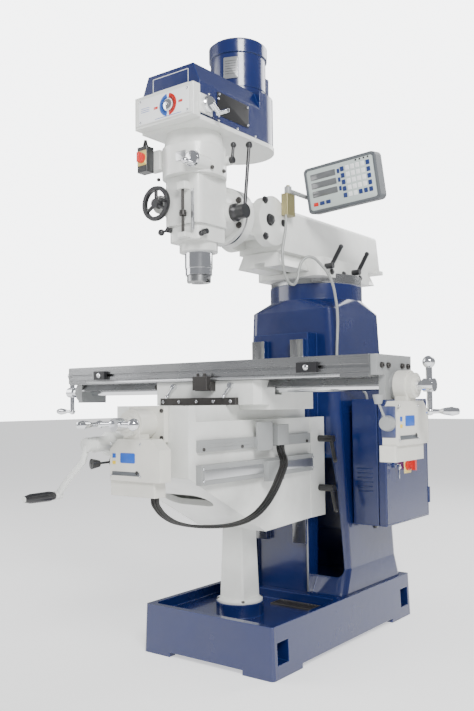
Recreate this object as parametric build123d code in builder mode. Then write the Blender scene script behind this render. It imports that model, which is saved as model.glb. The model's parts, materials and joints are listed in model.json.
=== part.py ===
"""Vertical knee milling machine with a turret ram head, power feeds and a digital readout."""
from build123d import *
import math
import os

os.makedirs("parts", exist_ok=True)

# ---- frame: X along the table, Y towards the column's back, Z up, origin in the base footprint ----
GAP = 0.3                       # clearance between faces that slide or swing past each other

# base casting
BASE_W, BASE_D, BASE_H = 540.0, 965.0, 160.0
BASE_TAPER = 2.2
BASE_WALL = 30.0
TRAY_FLOOR = 128.0
BASE_CAVITY_H = 105.0
FOOT_LIFT = 15.0
ANCHOR_X, ANCHOR_Y, ANCHOR_R = 238.0, 425.0, 11.0
POCKET = (56.0, 62.0, 68.0)
POCKET_FLOOR = 42.0

# elevating screw and its pedestal
LIFT_Y = -290.0
LIFT_SCREW_R = 19.0
LIFT_BORE_R = 20.0
COLLAR_R, COLLAR_TOP = 81.5, 172.0
POST_FOOT, POST_TOP_W = 100.0, 81.0
POST_Z = (184.0, 495.0)
LIFT_SCREW_Z = (250.0, 738.0)

# column
COLUMN_CY = 236.0
COLUMN_BACK = 430.0
COLUMN_TOP, SHOULDER_TOP, NECK_TOP = 1192.0, 1236.0, 1296.0
COLUMN_WALL = 22.0
TURRET_Y = 239.0
NECK_R = 183.0
WAY_HALF, WAY_FRONT, WAY_ROOT = 120.0, -45.0, 60.0
WAY_PAD = (58.0, 115.0)
WAY_PAD_Z = (335.0, 1075.0)

# electrical cabinet on the column's right side
CAB_X, CAB_Y, CAB_Z = (229.0, 333.0), (100.0, 460.0), (398.0, 852.0)
CAB_WALL = 3.0
DOOR_X = (334.0, 365.0)
HINGE = (365.5, 460.5)
MAIN_SWITCH = (276.0, 606.0)

# turret and ram
RING_R, RING_Z = 179.0, (1296.3, 1332.0)
TURRET_X, TURRET_YS = 150.0, (30.0, 430.0)
RAM_X, RAM_Z = 95.0, (1388.0, 1546.0)
RAM_YS = (-145.0, 583.0)
RAM_LEAN = 33.0
TAIL_Z, TAIL_HALF = (1335.0, 1388.0), (98.0, 72.0)
TAIL_YS = (-150.0, 556.0)
FORK_HALF = 60.0
CHEEK_X, CHEEK_Y, CHEEK_R = 100.0, -200.0, 88.0
NOD_Y, HEAD_Z = -226.0, 1484.0
CLAMP_YS = (60.0, 265.0)
CLAMP_Z = 1350.0

# head
SEAM_Y = -352.0
FLANGE_R = 100.0
SPINDLE_Y = -495.0
QUILL_R = 46.0
QUILL_Z = (1264.0, 1565.0)
HOUSING_Z = (1369.0, 1580.0)
HOUSING_X, HOUSING_YS = 76.0, (-585.0, -425.0)
CLAMP_RING_R, CLAMP_RING_Z = 63.5, (1340.0, 1369.0)
CASE_Y, CASE_R, CASE_Z = -513.0, 105.5, (1580.0, 1678.0)
BELT_BASE_Z = 1725.0
COVER_X, COVER_FRONT, COVER_Z = 122.0, -630.0, (1740.0, 1913.0)
COVER_SHOULDER_Z, COVER_TOP_X = 1850.0, 96.0
COVER_WALL = 5.0
DIAL_BOX_X, DIAL_BOX_Y, DIAL_BOX_Z = 125.0, -665.0, (1732.0, 1836.0)
MOTOR_Y, MOTOR_R, MOTOR_CAP_R = -268.0, 98.0, 103.5
MOTOR_Z, MOTOR_TOP = (1913.0, 2057.0), 2110.0
PULLEY_Z = (1762.0, 1832.0)
PULLEY_R, MOTOR_PULLEY_R, BELT_T = 82.0, 58.0, 8.0
SPINDLE_R, SPLINE_R, BAR_R = 24.0, 16.0, 7.0
NOSE_R, NOSE_Z = 39.5, 1240.0
COLLET_R, COLLET_MOUTH_R = 12.05, 15.9

# knee
KNEE_HALF, KNEE_FRONT, KNEE_TOP = 147.0, -725.0, 838.0
KNEE_WALL = 16.0
KNEE_NECK_HALF, KNEE_NECK_Z = 118.0, 790.0
KNEE_LOW = (625.0, 422.0, 434.0)
KNEE_TIP_Y = -340.0
KNEE_ARM_X, KNEE_ARM_Y = 150.0, 35.0
Y_SCREW_Z, Y_SCREW_R = 786.0, 14.0
CRANK_X, CRANK_Z = -128.0, 724.0
LOCK_ZS = (712.0, 535.0)

# saddle and table
SADDLE_X, SADDLE_YS = 235.0, (-495.0, -176.0)
SADDLE_Z = (822.0, 915.7)
TABLE_X, TABLE_YS, TABLE_Z = 622.5, (-506.0, -261.0), (916.0, 979.0)
TABLE_TAIL_Z, TABLE_TAIL_HALF = 893.0, (64.0, 50.0)
X_SCREW_Y, X_SCREW_Z, X_SCREW_R = -383.5, 890.0, 14.0
SLOT_PITCH, SLOT_W, SLOT_DEEP, SLOT_FOOT_W, SLOT_FOOT_H = 63.5, 16.0, 28.0, 28.0, 12.0

# ball cranks
BALL_R, BALL_ARM, GRIP_ARM, GRIP_LEN = 18.0, 65.0, 74.0, 88.0
X_HUB = 748.0
Y_HUB = -868.0

# power feed unit, measured from its crank axis
FEED_T, FEED_W, FEED_FLAT = 57.0, 201.0, 150.0
FEED_DROP = (44.0, 168.0, 213.0)
X_FEED_FACE, Y_FEED_FACE = 697.0, -817.0
X_FEED_SIDE, Y_FEED_SIDE = 97.0, 84.0

# readout
DRO_W, DRO_H, DRO_T = 296.0, 168.0, 44.0
DRO_CENTRE = (276.0, -7.0, 1627.0)
DRO_LEAN, DRO_ROLL = 9.0, 3.2
DRO_POST = (114.0, -128.0, 1592.0)


def block(x, y, z, mode=Mode.ADD, corner=0.0):
    """Box between (low, high) pairs on each axis, with optional rounded upright corners."""
    width, depth = x[1] - x[0], y[1] - y[0]
    with BuildSketch(Plane.XY.offset(z[0])) as outline:
        with Locations(((x[0] + x[1]) / 2, (y[0] + y[1]) / 2)):
            if corner:
                RectangleRounded(width, depth, corner)
            else:
                Rectangle(width, depth)
    extrude(outline.sketch, amount=z[1] - z[0], mode=mode)


def rod(start, direction, radius, length, mode=Mode.ADD):
    """Cylinder from a start point along a direction."""
    with BuildSketch(Plane(origin=start, z_dir=direction)) as disc:
        Circle(radius)
    extrude(disc.sketch, amount=length, mode=mode)


def bar(start, end, radius):
    """Round bar between two points."""
    run = Vector(*end) - Vector(*start)
    rod(start, tuple(run.normalized()), radius, run.length)


def ball(centre, radius):
    """Ball about a point."""
    with Locations(centre):
        Sphere(radius)


def turned(origin, direction, outline, mode=Mode.ADD):
    """Body of revolution; the outline is (radius, distance along the axis) points."""
    along = Vector(*direction)
    radial = Vector(0, 0, 1) if abs(along.Z) < 0.5 else Vector(1, 0, 0)
    plane = Plane(origin=origin, x_dir=tuple(radial), z_dir=tuple(radial.cross(along)))
    with BuildSketch(plane) as profile:
        with BuildLine():
            Polyline(*outline, close=True)
        make_face()
    revolve(profile.sketch, axis=Axis(origin, direction), mode=mode)


def profile_yz(points, x, mode=Mode.ADD):
    """Plate whose (y, z) outline is extruded between two X values."""
    with BuildSketch(Plane.YZ.offset(x[0])) as outline:
        with BuildLine():
            Polyline(*points, close=True)
        make_face()
    extrude(outline.sketch, amount=x[1] - x[0], mode=mode)


def profile_xz(points, y, mode=Mode.ADD):
    """Plate whose (x, z) outline is extruded between two Y values."""
    with BuildSketch(Plane.XZ.offset(-y[1])) as outline:
        with BuildLine():
            Polyline(*points, close=True)
        make_face()
    extrude(outline.sketch, amount=y[1] - y[0], mode=mode)


def save(builder, name):
    """Label the finished sub-part and write its STEP file."""
    builder.part.label = name
    export_step(builder.part, f"parts/{name}.step")
    return builder.part


# ---- base, pedestal and column ----

def make_base():
    """Drafted base with a chip tray, hollow underside, anchor pockets and pedestal collar."""
    half_w, half_d = BASE_W / 2, BASE_D / 2
    deck_y = -62.0
    with BuildPart() as base:
        with BuildSketch(Plane.XY) as foot:
            RectangleRounded(BASE_W, BASE_D, 14)
        extrude(foot.sketch, amount=BASE_H, taper=BASE_TAPER)
        block((-half_w + 26, half_w - 26), (-half_d + 30, deck_y), (TRAY_FLOOR, BASE_H), Mode.SUBTRACT, 22)
        inner_w, inner_d = half_w - BASE_WALL, half_d - BASE_WALL
        block((-inner_w, inner_w), (-inner_d, inner_d), (0, BASE_CAVITY_H), Mode.SUBTRACT, 12)
        for sx in (-1, 1):
            for sy in (-1, 1):
                xs = sorted((sx * (half_w - 80), sx * (half_w - 12)))
                ys = sorted((sy * (half_d - 105), sy * (half_d - 12)))
                block(xs, ys, (0, BASE_CAVITY_H + 5))
        block((-half_w + 118, half_w - 118), (-half_d, half_d), (0, FOOT_LIFT), Mode.SUBTRACT)
        block((-half_w, half_w), (-half_d + 165, half_d - 165), (0, FOOT_LIFT), Mode.SUBTRACT)
        for sx in (-1, 1):
            for sy in (-1, 1):
                xs = sorted((sx * (half_w - POCKET[0]), sx * (half_w + 2)))
                ys = (sy * ANCHOR_Y - POCKET[1] / 2, sy * ANCHOR_Y + POCKET[1] / 2)
                block(xs, ys, (POCKET_FLOOR, POCKET_FLOOR + POCKET[2]), Mode.SUBTRACT)
                rod((sx * ANCHOR_X, sy * ANCHOR_Y, 0), (0, 0, 1), ANCHOR_R, POCKET_FLOOR + 1, Mode.SUBTRACT)
        rod((0, LIFT_Y, TRAY_FLOOR - 3), (0, 0, 1), COLLAR_R, COLLAR_TOP - TRAY_FLOOR + 3)
        rod((0, LIFT_Y, 0), (0, 0, 1), LIFT_BORE_R, COLLAR_TOP, Mode.SUBTRACT)
    return save(base, "base")


def make_pedestal():
    """Flared foot and tapered square post that holds the elevating nut."""
    with BuildPart() as pedestal:
        outline = [(0, 0), (78, 0), (78, 7), (66, 14), (0, 14)]
        turned((0, LIFT_Y, COLLAR_TOP), (0, 0, 1), outline)
        with BuildSketch(Plane.XY.offset(POST_Z[0])) as low:
            with Locations((0, LIFT_Y)):
                RectangleRounded(POST_FOOT, POST_FOOT, 9)
        with BuildSketch(Plane.XY.offset(POST_Z[1])) as high:
            with Locations((0, LIFT_Y)):
                RectangleRounded(POST_TOP_W, POST_TOP_W, 7)
        loft([low.sketch.faces()[0], high.sketch.faces()[0]])
        rod((0, LIFT_Y, COLLAR_TOP), (0, 0, 1), LIFT_BORE_R, POST_Z[1] - COLLAR_TOP, Mode.SUBTRACT)
    return save(pedestal, "pedestal")


def column_section(z, half, front, back, corner, inset=0.0):
    """Rounded rectangle across the column at one height."""
    with BuildSketch(Plane.XY.offset(z)) as section:
        with Locations((0, (front + back) / 2)):
            RectangleRounded(2 * (half - inset), back - front - 2 * inset, corner)
    return section.sketch.faces()[0]


def make_column():
    """Hollow column that flares at the foot, with a round neck and ground ways in front."""
    with BuildPart() as column:
        stages = ((BASE_H, 246, -14, 452, 34), (242, 234, 40, 440, 34), (COLUMN_TOP, 184, 42, COLUMN_BACK, 34))
        for low, high in zip(stages, stages[1:]):
            loft([column_section(*low), column_section(*high)], ruled=True)
        shoulder = (COLUMN_TOP, 184, 42, COLUMN_BACK, 34)
        crown = (SHOULDER_TOP, NECK_R, TURRET_Y - NECK_R, TURRET_Y + NECK_R, NECK_R - 1)
        loft([column_section(*shoulder), column_section(*crown)], ruled=True)
        rod((0, TURRET_Y, SHOULDER_TOP), (0, 0, 1), NECK_R, NECK_TOP - SHOULDER_TOP)
        block((-WAY_HALF, WAY_HALF), (WAY_FRONT + 25, WAY_ROOT), (BASE_H, 1100))
        for side in (-1, 1):
            pad = sorted((side * WAY_PAD[0], side * WAY_PAD[1]))
            block(pad, (WAY_FRONT, WAY_FRONT + 25), WAY_PAD_Z)
            foot = sorted((side * 112, side * WAY_HALF))
            block(foot, (WAY_FRONT + 8, WAY_FRONT + 25), (BASE_H, 470))
        inner = ((BASE_H, 224, 20, 430, 20), (COLUMN_TOP - 20, 160, 64, COLUMN_BACK - COLUMN_WALL, 20))
        loft([column_section(*inner[0]), column_section(*inner[1])], ruled=True, mode=Mode.SUBTRACT)
        rod((0, TURRET_Y, COLUMN_TOP - 20), (0, 0, 1), NECK_R - 55, NECK_TOP - COLUMN_TOP + 20, Mode.SUBTRACT)
        block((-100, 100), (COLUMN_BACK - 60, COLUMN_BACK + 30), (330, 700), Mode.SUBTRACT, 20)
        block((-112, 112), (COLUMN_BACK - 18, COLUMN_BACK + 14), (318, 712), corner=3)
        for z in (450, 800):
            block((185, CAB_X[0]), (150, 410), (z, z + 30))
    return save(column, "column")


# ---- electrical cabinet ----

def make_cabinet():
    """Open-fronted steel box with a mounting plate and switchgear inside."""
    with BuildPart() as cabinet:
        block(CAB_X, CAB_Y, CAB_Z, corner=4)
        inner_y = (CAB_Y[0] + CAB_WALL, CAB_Y[1] - CAB_WALL)
        inner_z = (CAB_Z[0] + CAB_WALL, CAB_Z[1] - CAB_WALL)
        block((CAB_X[0] + CAB_WALL, CAB_X[1] + 1), inner_y, inner_z, Mode.SUBTRACT)
        plate_x = CAB_X[0] + CAB_WALL
        block((plate_x, plate_x + 4), (CAB_Y[0] + 30, CAB_Y[1] - 30), (CAB_Z[0] + 30, CAB_Z[1] - 30))
        for index in range(3):
            y = CAB_Y[0] + 70 + index * 80
            block((plate_x + 4, plate_x + 64), (y, y + 52), (680, 760))
        block((plate_x + 4, plate_x + 70), (CAB_Y[0] + 80, CAB_Y[0] + 200), (450, 560))
    return save(cabinet, "cabinet")


def make_cabinet_door():
    """Folded door with a lip, a lock barrel and a cut-out for the main switch."""
    with BuildPart() as door:
        block(DOOR_X, CAB_Y, CAB_Z, corner=4)
        inner_y = (CAB_Y[0] + CAB_WALL, CAB_Y[1] - CAB_WALL)
        inner_z = (CAB_Z[0] + CAB_WALL, CAB_Z[1] - CAB_WALL)
        block((DOOR_X[0] - 1, DOOR_X[1] - CAB_WALL), inner_y, inner_z, Mode.SUBTRACT)
        rod((DOOR_X[1] - CAB_WALL, 163, 612), (1, 0, 0), 10, 9)
        for z in (CAB_Z[0] + 50, CAB_Z[1] - 110):
            rod((*HINGE, z), (0, 0, 1), 5, 60)
    return save(door, "cabinet_door")


def make_main_switch():
    """Square escutcheon with a rotary isolator handle."""
    y, z = MAIN_SWITCH
    with BuildPart() as switch:
        rod((DOOR_X[1] + 0.2, y, z), (1, 0, 0), 21, 8)
        rod((DOOR_X[1] + 8, y, z), (1, 0, 0), 15, 12)
        block((DOOR_X[1] + 18, DOOR_X[1] + 34), (y - 7, y + 7), (z - 19, z + 19))
    return save(switch, "main_switch")


# ---- turret, ram and readout ----

def make_turret():
    """Graduated flange and clamp block with the female dovetail for the ram."""
    with BuildPart() as turret:
        rod((0, TURRET_Y, RING_Z[0]), (0, 0, 1), RING_R, RING_Z[1] - RING_Z[0])
        block((-TURRET_X, TURRET_X), TURRET_YS, (1316, RAM_Z[0] - 1), corner=34)
        low, high = TAIL_HALF[0] + 2 * GAP, TAIL_HALF[1] + 2 * GAP
        points = [(-low, TAIL_Z[0] - GAP), (low, TAIL_Z[0] - GAP), (high, RAM_Z[0]), (-high, RAM_Z[0])]
        profile_xz(points, (TURRET_YS[0] - 5, TURRET_YS[1] + 5), Mode.SUBTRACT)
        rod((0, TURRET_Y, RING_Z[0]), (0, 0, 1), NECK_R - 70, 30, Mode.SUBTRACT)
        for y in CLAMP_YS:
            rod((TURRET_X - 2, y, CLAMP_Z), (1, 0, 0), 13, 6)
    return save(turret, "turret")


def make_ram_lock(name, y):
    """Offset clamping lever with its hub on the turret's side."""
    with BuildPart() as lever:
        rod((TURRET_X + 4.3, y, CLAMP_Z), (1, 0, 0), 11, 32)
        bar((TURRET_X + 28, y, CLAMP_Z), (TURRET_X + 40, y + 54, CLAMP_Z + 78), 8)
        ball((TURRET_X + 40, y + 54, CLAMP_Z + 78), 9)
    return save(lever, name)


def make_ram():
    """Ram with a forked nose, leaning tail and male dovetail."""
    front, back = RAM_YS
    with BuildPart() as ram:
        points = [(front, RAM_Z[0]), (back + RAM_LEAN, RAM_Z[0]), (back, RAM_Z[1]), (front, RAM_Z[1])]
        profile_yz(points, (-RAM_X, RAM_X))
        top_edges = ram.edges().filter_by(Axis.Y).group_by(Axis.Z)[-1]
        fillet(top_edges, 14)
        block((-RAM_X - 10, RAM_X + 10), (back - 25, back + RAM_LEAN + 8), (RAM_Z[0], RAM_Z[0] + 16))
        rod((-CHEEK_X, CHEEK_Y, HEAD_Z), (1, 0, 0), CHEEK_R, 2 * CHEEK_X)
        low, high = TAIL_HALF
        tail = [(-low, TAIL_Z[0]), (low, TAIL_Z[0]), (high, TAIL_Z[1]), (-high, TAIL_Z[1])]
        profile_xz(tail, TAIL_YS)
        block((-FORK_HALF, FORK_HALF), (-320, NOD_Y + 72), (RAM_Z[0] - 20, 1600), Mode.SUBTRACT)
        block((-RAM_X + 18, RAM_X - 18), (NOD_Y + 110, back - 30), (RAM_Z[0] + 20, RAM_Z[1] - 18), Mode.SUBTRACT)
        block((-22, 22), (TAIL_YS[0] - 2, TAIL_YS[1] + 2), (TAIL_Z[0] - 1, TAIL_Z[0] + 16), Mode.SUBTRACT)
    return save(ram, "ram")


def make_dro_bracket():
    """Clamp block on the ram's side with an upright post."""
    x, y, z = DRO_POST
    with BuildPart() as bracket:
        block((CHEEK_X, x + 14), (y - 26, y + 26), (1512, z - 2), corner=3)
        rod((x, y, z - 2), (0, 0, 1), 7, 34)
    return save(bracket, "dro_bracket")


def make_dro_arm():
    """Arm that swings on the post and carries the display's tilt pin."""
    x, y, z = DRO_POST
    pin_y = DRO_CENTRE[1] + 52
    with BuildPart() as arm:
        rod((x, y, z), (0, 0, 1), 13, 26)
        bar((x, y, z + 13), (x, pin_y, z + 13), 8)
        ball((x, pin_y, z + 13), 8)
        bar((x, pin_y, z + 13), (DRO_CENTRE[0] - 40, pin_y, z + 13), 8)
        bar((DRO_CENTRE[0] - 40, pin_y, z + 5), (DRO_CENTRE[0] - 40, pin_y, DRO_CENTRE[2]), 9)
        rod((DRO_CENTRE[0] - 45, pin_y, DRO_CENTRE[2]), (1, 0, 0), 8, 114)
        rod((x, y, z - 1), (0, 0, 1), 7.05, 28, Mode.SUBTRACT)
    return save(arm, "dro_arm")


def make_dro_display():
    """Display case leaning towards the operator, with hinge ears on its back."""
    pin_y = DRO_CENTRE[1] + 52
    tilt = Plane(origin=DRO_CENTRE, x_dir=(math.cos(math.radians(DRO_ROLL)), 0, math.sin(math.radians(DRO_ROLL))),
                 z_dir=(0, -math.cos(math.radians(DRO_LEAN)), -math.sin(math.radians(DRO_LEAN))))
    with BuildPart() as display:
        with BuildSketch(tilt.offset(-DRO_T / 2)) as case:
            RectangleRounded(DRO_W, DRO_H, 18)
        extrude(case.sketch, amount=DRO_T)
        for x in (DRO_CENTRE[0] - 20, DRO_CENTRE[0] + 47):
            block((x, x + 12), (DRO_CENTRE[1] + 10, pin_y + 16), (DRO_CENTRE[2] - 16, DRO_CENTRE[2] + 16))
        rod((DRO_CENTRE[0] - 70, pin_y, DRO_CENTRE[2]), (1, 0, 0), 8.3, 140, Mode.SUBTRACT)
    return save(display, "dro_display")


# ---- head ----

def make_ram_adapter():
    """Knuckle that nods in the ram's fork and carries the head's swivel face."""
    with BuildPart() as adapter:
        half = FORK_HALF - GAP
        rod((-half, NOD_Y, HEAD_Z), (1, 0, 0), 60, 2 * half)
        block((-half, half), (SEAM_Y + 20, NOD_Y), (HEAD_Z - 58, HEAD_Z + 58))
        rod((0, SEAM_Y + GAP, HEAD_Z), (0, 1, 0), FLANGE_R, 36)
        rod((-half - 1, NOD_Y, HEAD_Z), (1, 0, 0), 14, 2 * half + 2, Mode.SUBTRACT)
    return save(adapter, "ram_adapter")


def make_head_housing():
    """Quill housing with its swivel flange, clamp ring and feed bosses."""
    lower = (HOUSING_X - 8, HOUSING_YS[0] + 8)
    with BuildPart() as housing:
        block((-HOUSING_X, HOUSING_X), HOUSING_YS, (1420, HOUSING_Z[1]), corner=24)
        block((-lower[0], lower[0]), (lower[1], SPINDLE_Y + 74), (HOUSING_Z[0], 1421), corner=30)
        rod((0, SEAM_Y, HEAD_Z), (0, -1, 0), FLANGE_R, 26)
        rod((0, SEAM_Y - 20, HEAD_Z), (0, -1, 0), 82, 70)
        rod((0, SPINDLE_Y, CLAMP_RING_Z[0]), (0, 0, 1), CLAMP_RING_R, CLAMP_RING_Z[1] - CLAMP_RING_Z[0])
        block((6, 40), (HOUSING_YS[0] - 26, HOUSING_YS[0] + 6), (1528, 1552), corner=4)
        block((6, 40), (HOUSING_YS[0] - 26, HOUSING_YS[0] + 12), (1372, 1388), corner=4)
        rod((-85, HOUSING_YS[0] + 30, 1497), (0, -1, 0), 30, 36)
        rod((HOUSING_X - 4, -424, 1473), (1, 0, 0), 34, 22)
        rod((0, SPINDLE_Y, CLAMP_RING_Z[0] - 1), (0, 0, 1), QUILL_R + GAP, 300, Mode.SUBTRACT)
    return save(housing, "head_housing")


def make_gear_case():
    """Back-gear case with a sloped top and bored through for the splined spindle."""
    with BuildPart() as case:
        with BuildSketch(Plane.XY.offset(CASE_Z[0])) as hexed:
            with Locations((0, CASE_Y)):
                RectangleRounded(2 * CASE_R - 6, 2 * CASE_R - 6, 94)
        extrude(hexed.sketch, amount=CASE_Z[1] - CASE_Z[0])
        taper = [(0, 0), (CASE_R - 4, 0), (CASE_R - 14, 47), (0, 47)]
        turned((0, CASE_Y, CASE_Z[1]), (0, 0, 1), taper)
        rod((84, CASE_Y - 40, 1610), (0, -1, 0), 22, 64)
        rod((66, -455, 1640), (1, 0, 0), 16, 40)
        block((-128, -80), (-596, -566), (1612, 1678))
        rod((0, SPINDLE_Y, CASE_Z[0] - 1), (0, 0, 1), SPLINE_R + 4, 150, Mode.SUBTRACT)
    return save(case, "gear_case")


def housing_outline(z, half, front):
    """Plan of the belt housing: square nose and a round back about the motor axis."""
    with BuildSketch(Plane.XY.offset(z)) as plan:
        with Locations((0, (front + MOTOR_Y) / 2)):
            Rectangle(2 * half, MOTOR_Y - front)
        with Locations((0, MOTOR_Y)):
            Circle(half)
    return plan.sketch


def make_belt_housing():
    """Cast plate under the belt drive."""
    with BuildPart() as plate:
        extrude(housing_outline(BELT_BASE_Z, COVER_X + 3, COVER_FRONT), amount=COVER_Z[0] - BELT_BASE_Z)
        rod((0, SPINDLE_Y, BELT_BASE_Z - 1), (0, 0, 1), SPLINE_R + 4, 20, Mode.SUBTRACT)
    return save(plate, "belt_housing")


def make_speed_cover():
    """Sheet cover over the belt drive, chamfered along its top edges."""
    wall = COVER_WALL
    with BuildPart() as cover:
        extrude(housing_outline(COVER_Z[0], COVER_X, COVER_FRONT), amount=COVER_Z[1] - COVER_Z[0])
        for side in (-1, 1):
            cut = [(side * (COVER_X + 2), COVER_SHOULDER_Z), (side * (COVER_X + 2), COVER_Z[1] + 1),
                   (side * COVER_TOP_X, COVER_Z[1] + 1), (side * COVER_TOP_X, COVER_Z[1]),
                   (side * COVER_X, COVER_SHOULDER_Z)]
            profile_xz(cut, (COVER_FRONT - 1, MOTOR_Y - 40), Mode.SUBTRACT)
        inner = housing_outline(COVER_Z[0], COVER_TOP_X - wall, COVER_FRONT + wall)
        extrude(inner, amount=COVER_Z[1] - COVER_Z[0] - wall, mode=Mode.SUBTRACT)
        rod((0, SPINDLE_Y, COVER_Z[1] - 10), (0, 0, 1), 20, 20, Mode.SUBTRACT)
        rod((0, MOTOR_Y, COVER_Z[1] - 10), (0, 0, 1), 16, 20, Mode.SUBTRACT)
    return save(cover, "speed_cover")


def make_dial_box():
    """Speed dial housing on the front, with a side boss for the speed crank."""
    with BuildPart() as box:
        block((-DIAL_BOX_X, DIAL_BOX_X), (DIAL_BOX_Y, COVER_FRONT), DIAL_BOX_Z, corner=4)
        block((-DIAL_BOX_X + 8, DIAL_BOX_X - 8), (DIAL_BOX_Y - 2, DIAL_BOX_Y + 1), (1740, 1828))
        block((DIAL_BOX_X, DIAL_BOX_X + 6), (COVER_FRONT - 10, COVER_FRONT + 52), (1746, 1806), corner=2)
    return save(box, "dial_box")


def make_motor():
    """Vertical motor with its fan cowl as a second solid."""
    with BuildPart() as motor:
        rod((0, MOTOR_Y, MOTOR_Z[0]), (0, 0, 1), MOTOR_R, MOTOR_Z[1] - MOTOR_Z[0])
        block((-50, 50), (MOTOR_Y + 80, MOTOR_Y + 122), (1935, 2020), corner=4)
        cap = MOTOR_TOP - MOTOR_Z[1]
        cowl = [(MOTOR_CAP_R, 0), (MOTOR_CAP_R, cap - 10), (MOTOR_CAP_R - 12, cap), (0, cap), (0, cap - 4),
                (MOTOR_CAP_R - 12, cap - 4), (MOTOR_CAP_R - 4, cap - 12), (MOTOR_CAP_R - 4, 0)]
        turned((0, MOTOR_Y, MOTOR_Z[1]), (0, 0, 1), cowl)
        rod((0, MOTOR_Y, MOTOR_Z[1] - 0.5), (0, 0, 1), MOTOR_CAP_R - 2, 12)
    return save(motor, "motor")


def make_spindle_pulley():
    """Variable sheave around the splined spindle."""
    outline = [(SPLINE_R + 0.3, 0), (PULLEY_R, 0), (PULLEY_R, 22), (PULLEY_R - 14, 30), (PULLEY_R - 14, 40),
               (PULLEY_R, 48), (PULLEY_R, 70), (SPLINE_R + 0.3, 70)]
    with BuildPart() as pulley:
        turned((0, SPINDLE_Y, PULLEY_Z[0]), (0, 0, 1), outline)
    return save(pulley, "spindle_pulley")


def make_motor_pulley():
    """Motor sheave with its shaft."""
    outline = [(0, 0), (MOTOR_PULLEY_R, 0), (MOTOR_PULLEY_R, 22), (MOTOR_PULLEY_R - 14, 30),
               (MOTOR_PULLEY_R - 14, 40), (MOTOR_PULLEY_R, 48), (MOTOR_PULLEY_R, 70), (12, 70),
               (12, 148), (0, 148)]
    with BuildPart() as pulley:
        turned((0, MOTOR_Y, PULLEY_Z[0]), (0, 0, 1), outline)
    return save(pulley, "motor_pulley")


def make_drive_belt():
    """Flat-sided belt loop in the grooves of both sheaves."""
    gap = 0.4
    inner_a, inner_b = PULLEY_R - 14 + gap, MOTOR_PULLEY_R - 14 + gap
    span = MOTOR_Y - SPINDLE_Y
    with BuildPart() as belt:
        for extra, mode in ((BELT_T, Mode.ADD), (0, Mode.SUBTRACT)):
            a, b = inner_a + extra, inner_b + extra
            lean = math.asin((a - b) / span)
            with BuildSketch(Plane.XY.offset(PULLEY_Z[0] + 31)) as loop:
                with Locations((0, SPINDLE_Y)):
                    Circle(a)
                with Locations((0, MOTOR_Y)):
                    Circle(b)
                with BuildLine():
                    Polyline((a * math.cos(lean), SPINDLE_Y + a * math.sin(lean)),
                             (b * math.cos(lean), MOTOR_Y + b * math.sin(lean)),
                             (-b * math.cos(lean), MOTOR_Y + b * math.sin(lean)),
                             (-a * math.cos(lean), SPINDLE_Y + a * math.sin(lean)), close=True)
                make_face()
            extrude(loop.sketch, amount=8, mode=mode)
    return save(belt, "drive_belt")


def make_quill():
    """Quill sleeve with a stop lug at its mouth ring."""
    with BuildPart() as quill:
        outline = [(SPINDLE_R + GAP, 0), (QUILL_R - 2, 0), (QUILL_R - 2, 22), (QUILL_R, 22),
                   (QUILL_R, QUILL_Z[1] - QUILL_Z[0]), (SPINDLE_R + GAP, QUILL_Z[1] - QUILL_Z[0])]
        turned((0, SPINDLE_Y, QUILL_Z[0]), (0, 0, 1), outline)
    return save(quill, "quill")


def make_spindle():
    """Spindle with a collet taper, drive notches and a splined tail."""
    with BuildPart() as spindle:
        outline = [(0, 0), (NOSE_R - 2, 0), (NOSE_R, 3), (NOSE_R, 23), (SPINDLE_R, 23.7), (SPINDLE_R, 320),
                   (SPLINE_R, 320), (SPLINE_R, 655), (0, 655)]
        turned((0, SPINDLE_Y, NOSE_Z), (0, 0, 1), outline)
        bore = [(0, -1), (COLLET_MOUTH_R + 0.3, -1), (COLLET_MOUTH_R, 0), (COLLET_R, 24), (COLLET_R, 104),
                (BAR_R + 1, 104), (BAR_R + 1, 656), (0, 656)]
        turned((0, SPINDLE_Y, NOSE_Z), (0, 0, 1), bore, Mode.SUBTRACT)
        for side in (-1, 1):
            notch = sorted((side * 26, side * (NOSE_R + 2)))
            block(notch, (SPINDLE_Y - 7, SPINDLE_Y + 7), (NOSE_Z - 1, NOSE_Z + 9), Mode.SUBTRACT)
    return save(spindle, "spindle")


def make_drawbar():
    """Drawbar with a hexagon head above the belt cover."""
    seat = NOSE_Z + 655
    with BuildPart() as bar_part:
        rod((0, SPINDLE_Y, NOSE_Z + 125), (0, 0, 1), BAR_R, seat - NOSE_Z - 120)
        with BuildSketch(Plane.XY.offset(seat)) as head:
            with Locations((0, SPINDLE_Y)):
                RegularPolygon(12, 6)
        extrude(head.sketch, amount=34)
    return save(bar_part, "drawbar")


def make_speed_crank():
    """Chromed speed-change crank with a folding-style grip."""
    x, y, z = DIAL_BOX_X + 6.3, -606.0, 1776.0
    with BuildPart() as crank:
        turned((x, y, z), (1, 0, 0), [(0, 0), (26, 0), (26, 10), (22, 14), (22, 18), (0, 18)])
        bar((x + 20, y, z), (x + 20, y + 30, z - 20), 7)
        rod((x + 14, y + 33, z - 22), (1, 0, 0), 7, 44)
    return save(crank, "speed_crank")


def make_fine_feed_wheel():
    """Small handwheel for fine quill feed."""
    y = HOUSING_YS[0] - 6 - GAP
    with BuildPart() as wheel:
        rod((-85, y, 1497), (0, -1, 0), 15, 26)
        ring = [(44, 10), (56, 10), (58, 16), (56, 24), (44, 24)]
        turned((-85, y, 1497), (0, -1, 0), ring)
        for index in range(3):
            angle = math.radians(90 + index * 120)
            tip = (-85 + 48 * math.cos(angle), y - 17, 1497 + 48 * math.sin(angle))
            bar((-85, y - 17, 1497), tip, 6)
        rod((-85 + 48, y - 22, 1497), (0, -1, 0), 5, 30)
    return save(wheel, "fine_feed_wheel")


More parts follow.
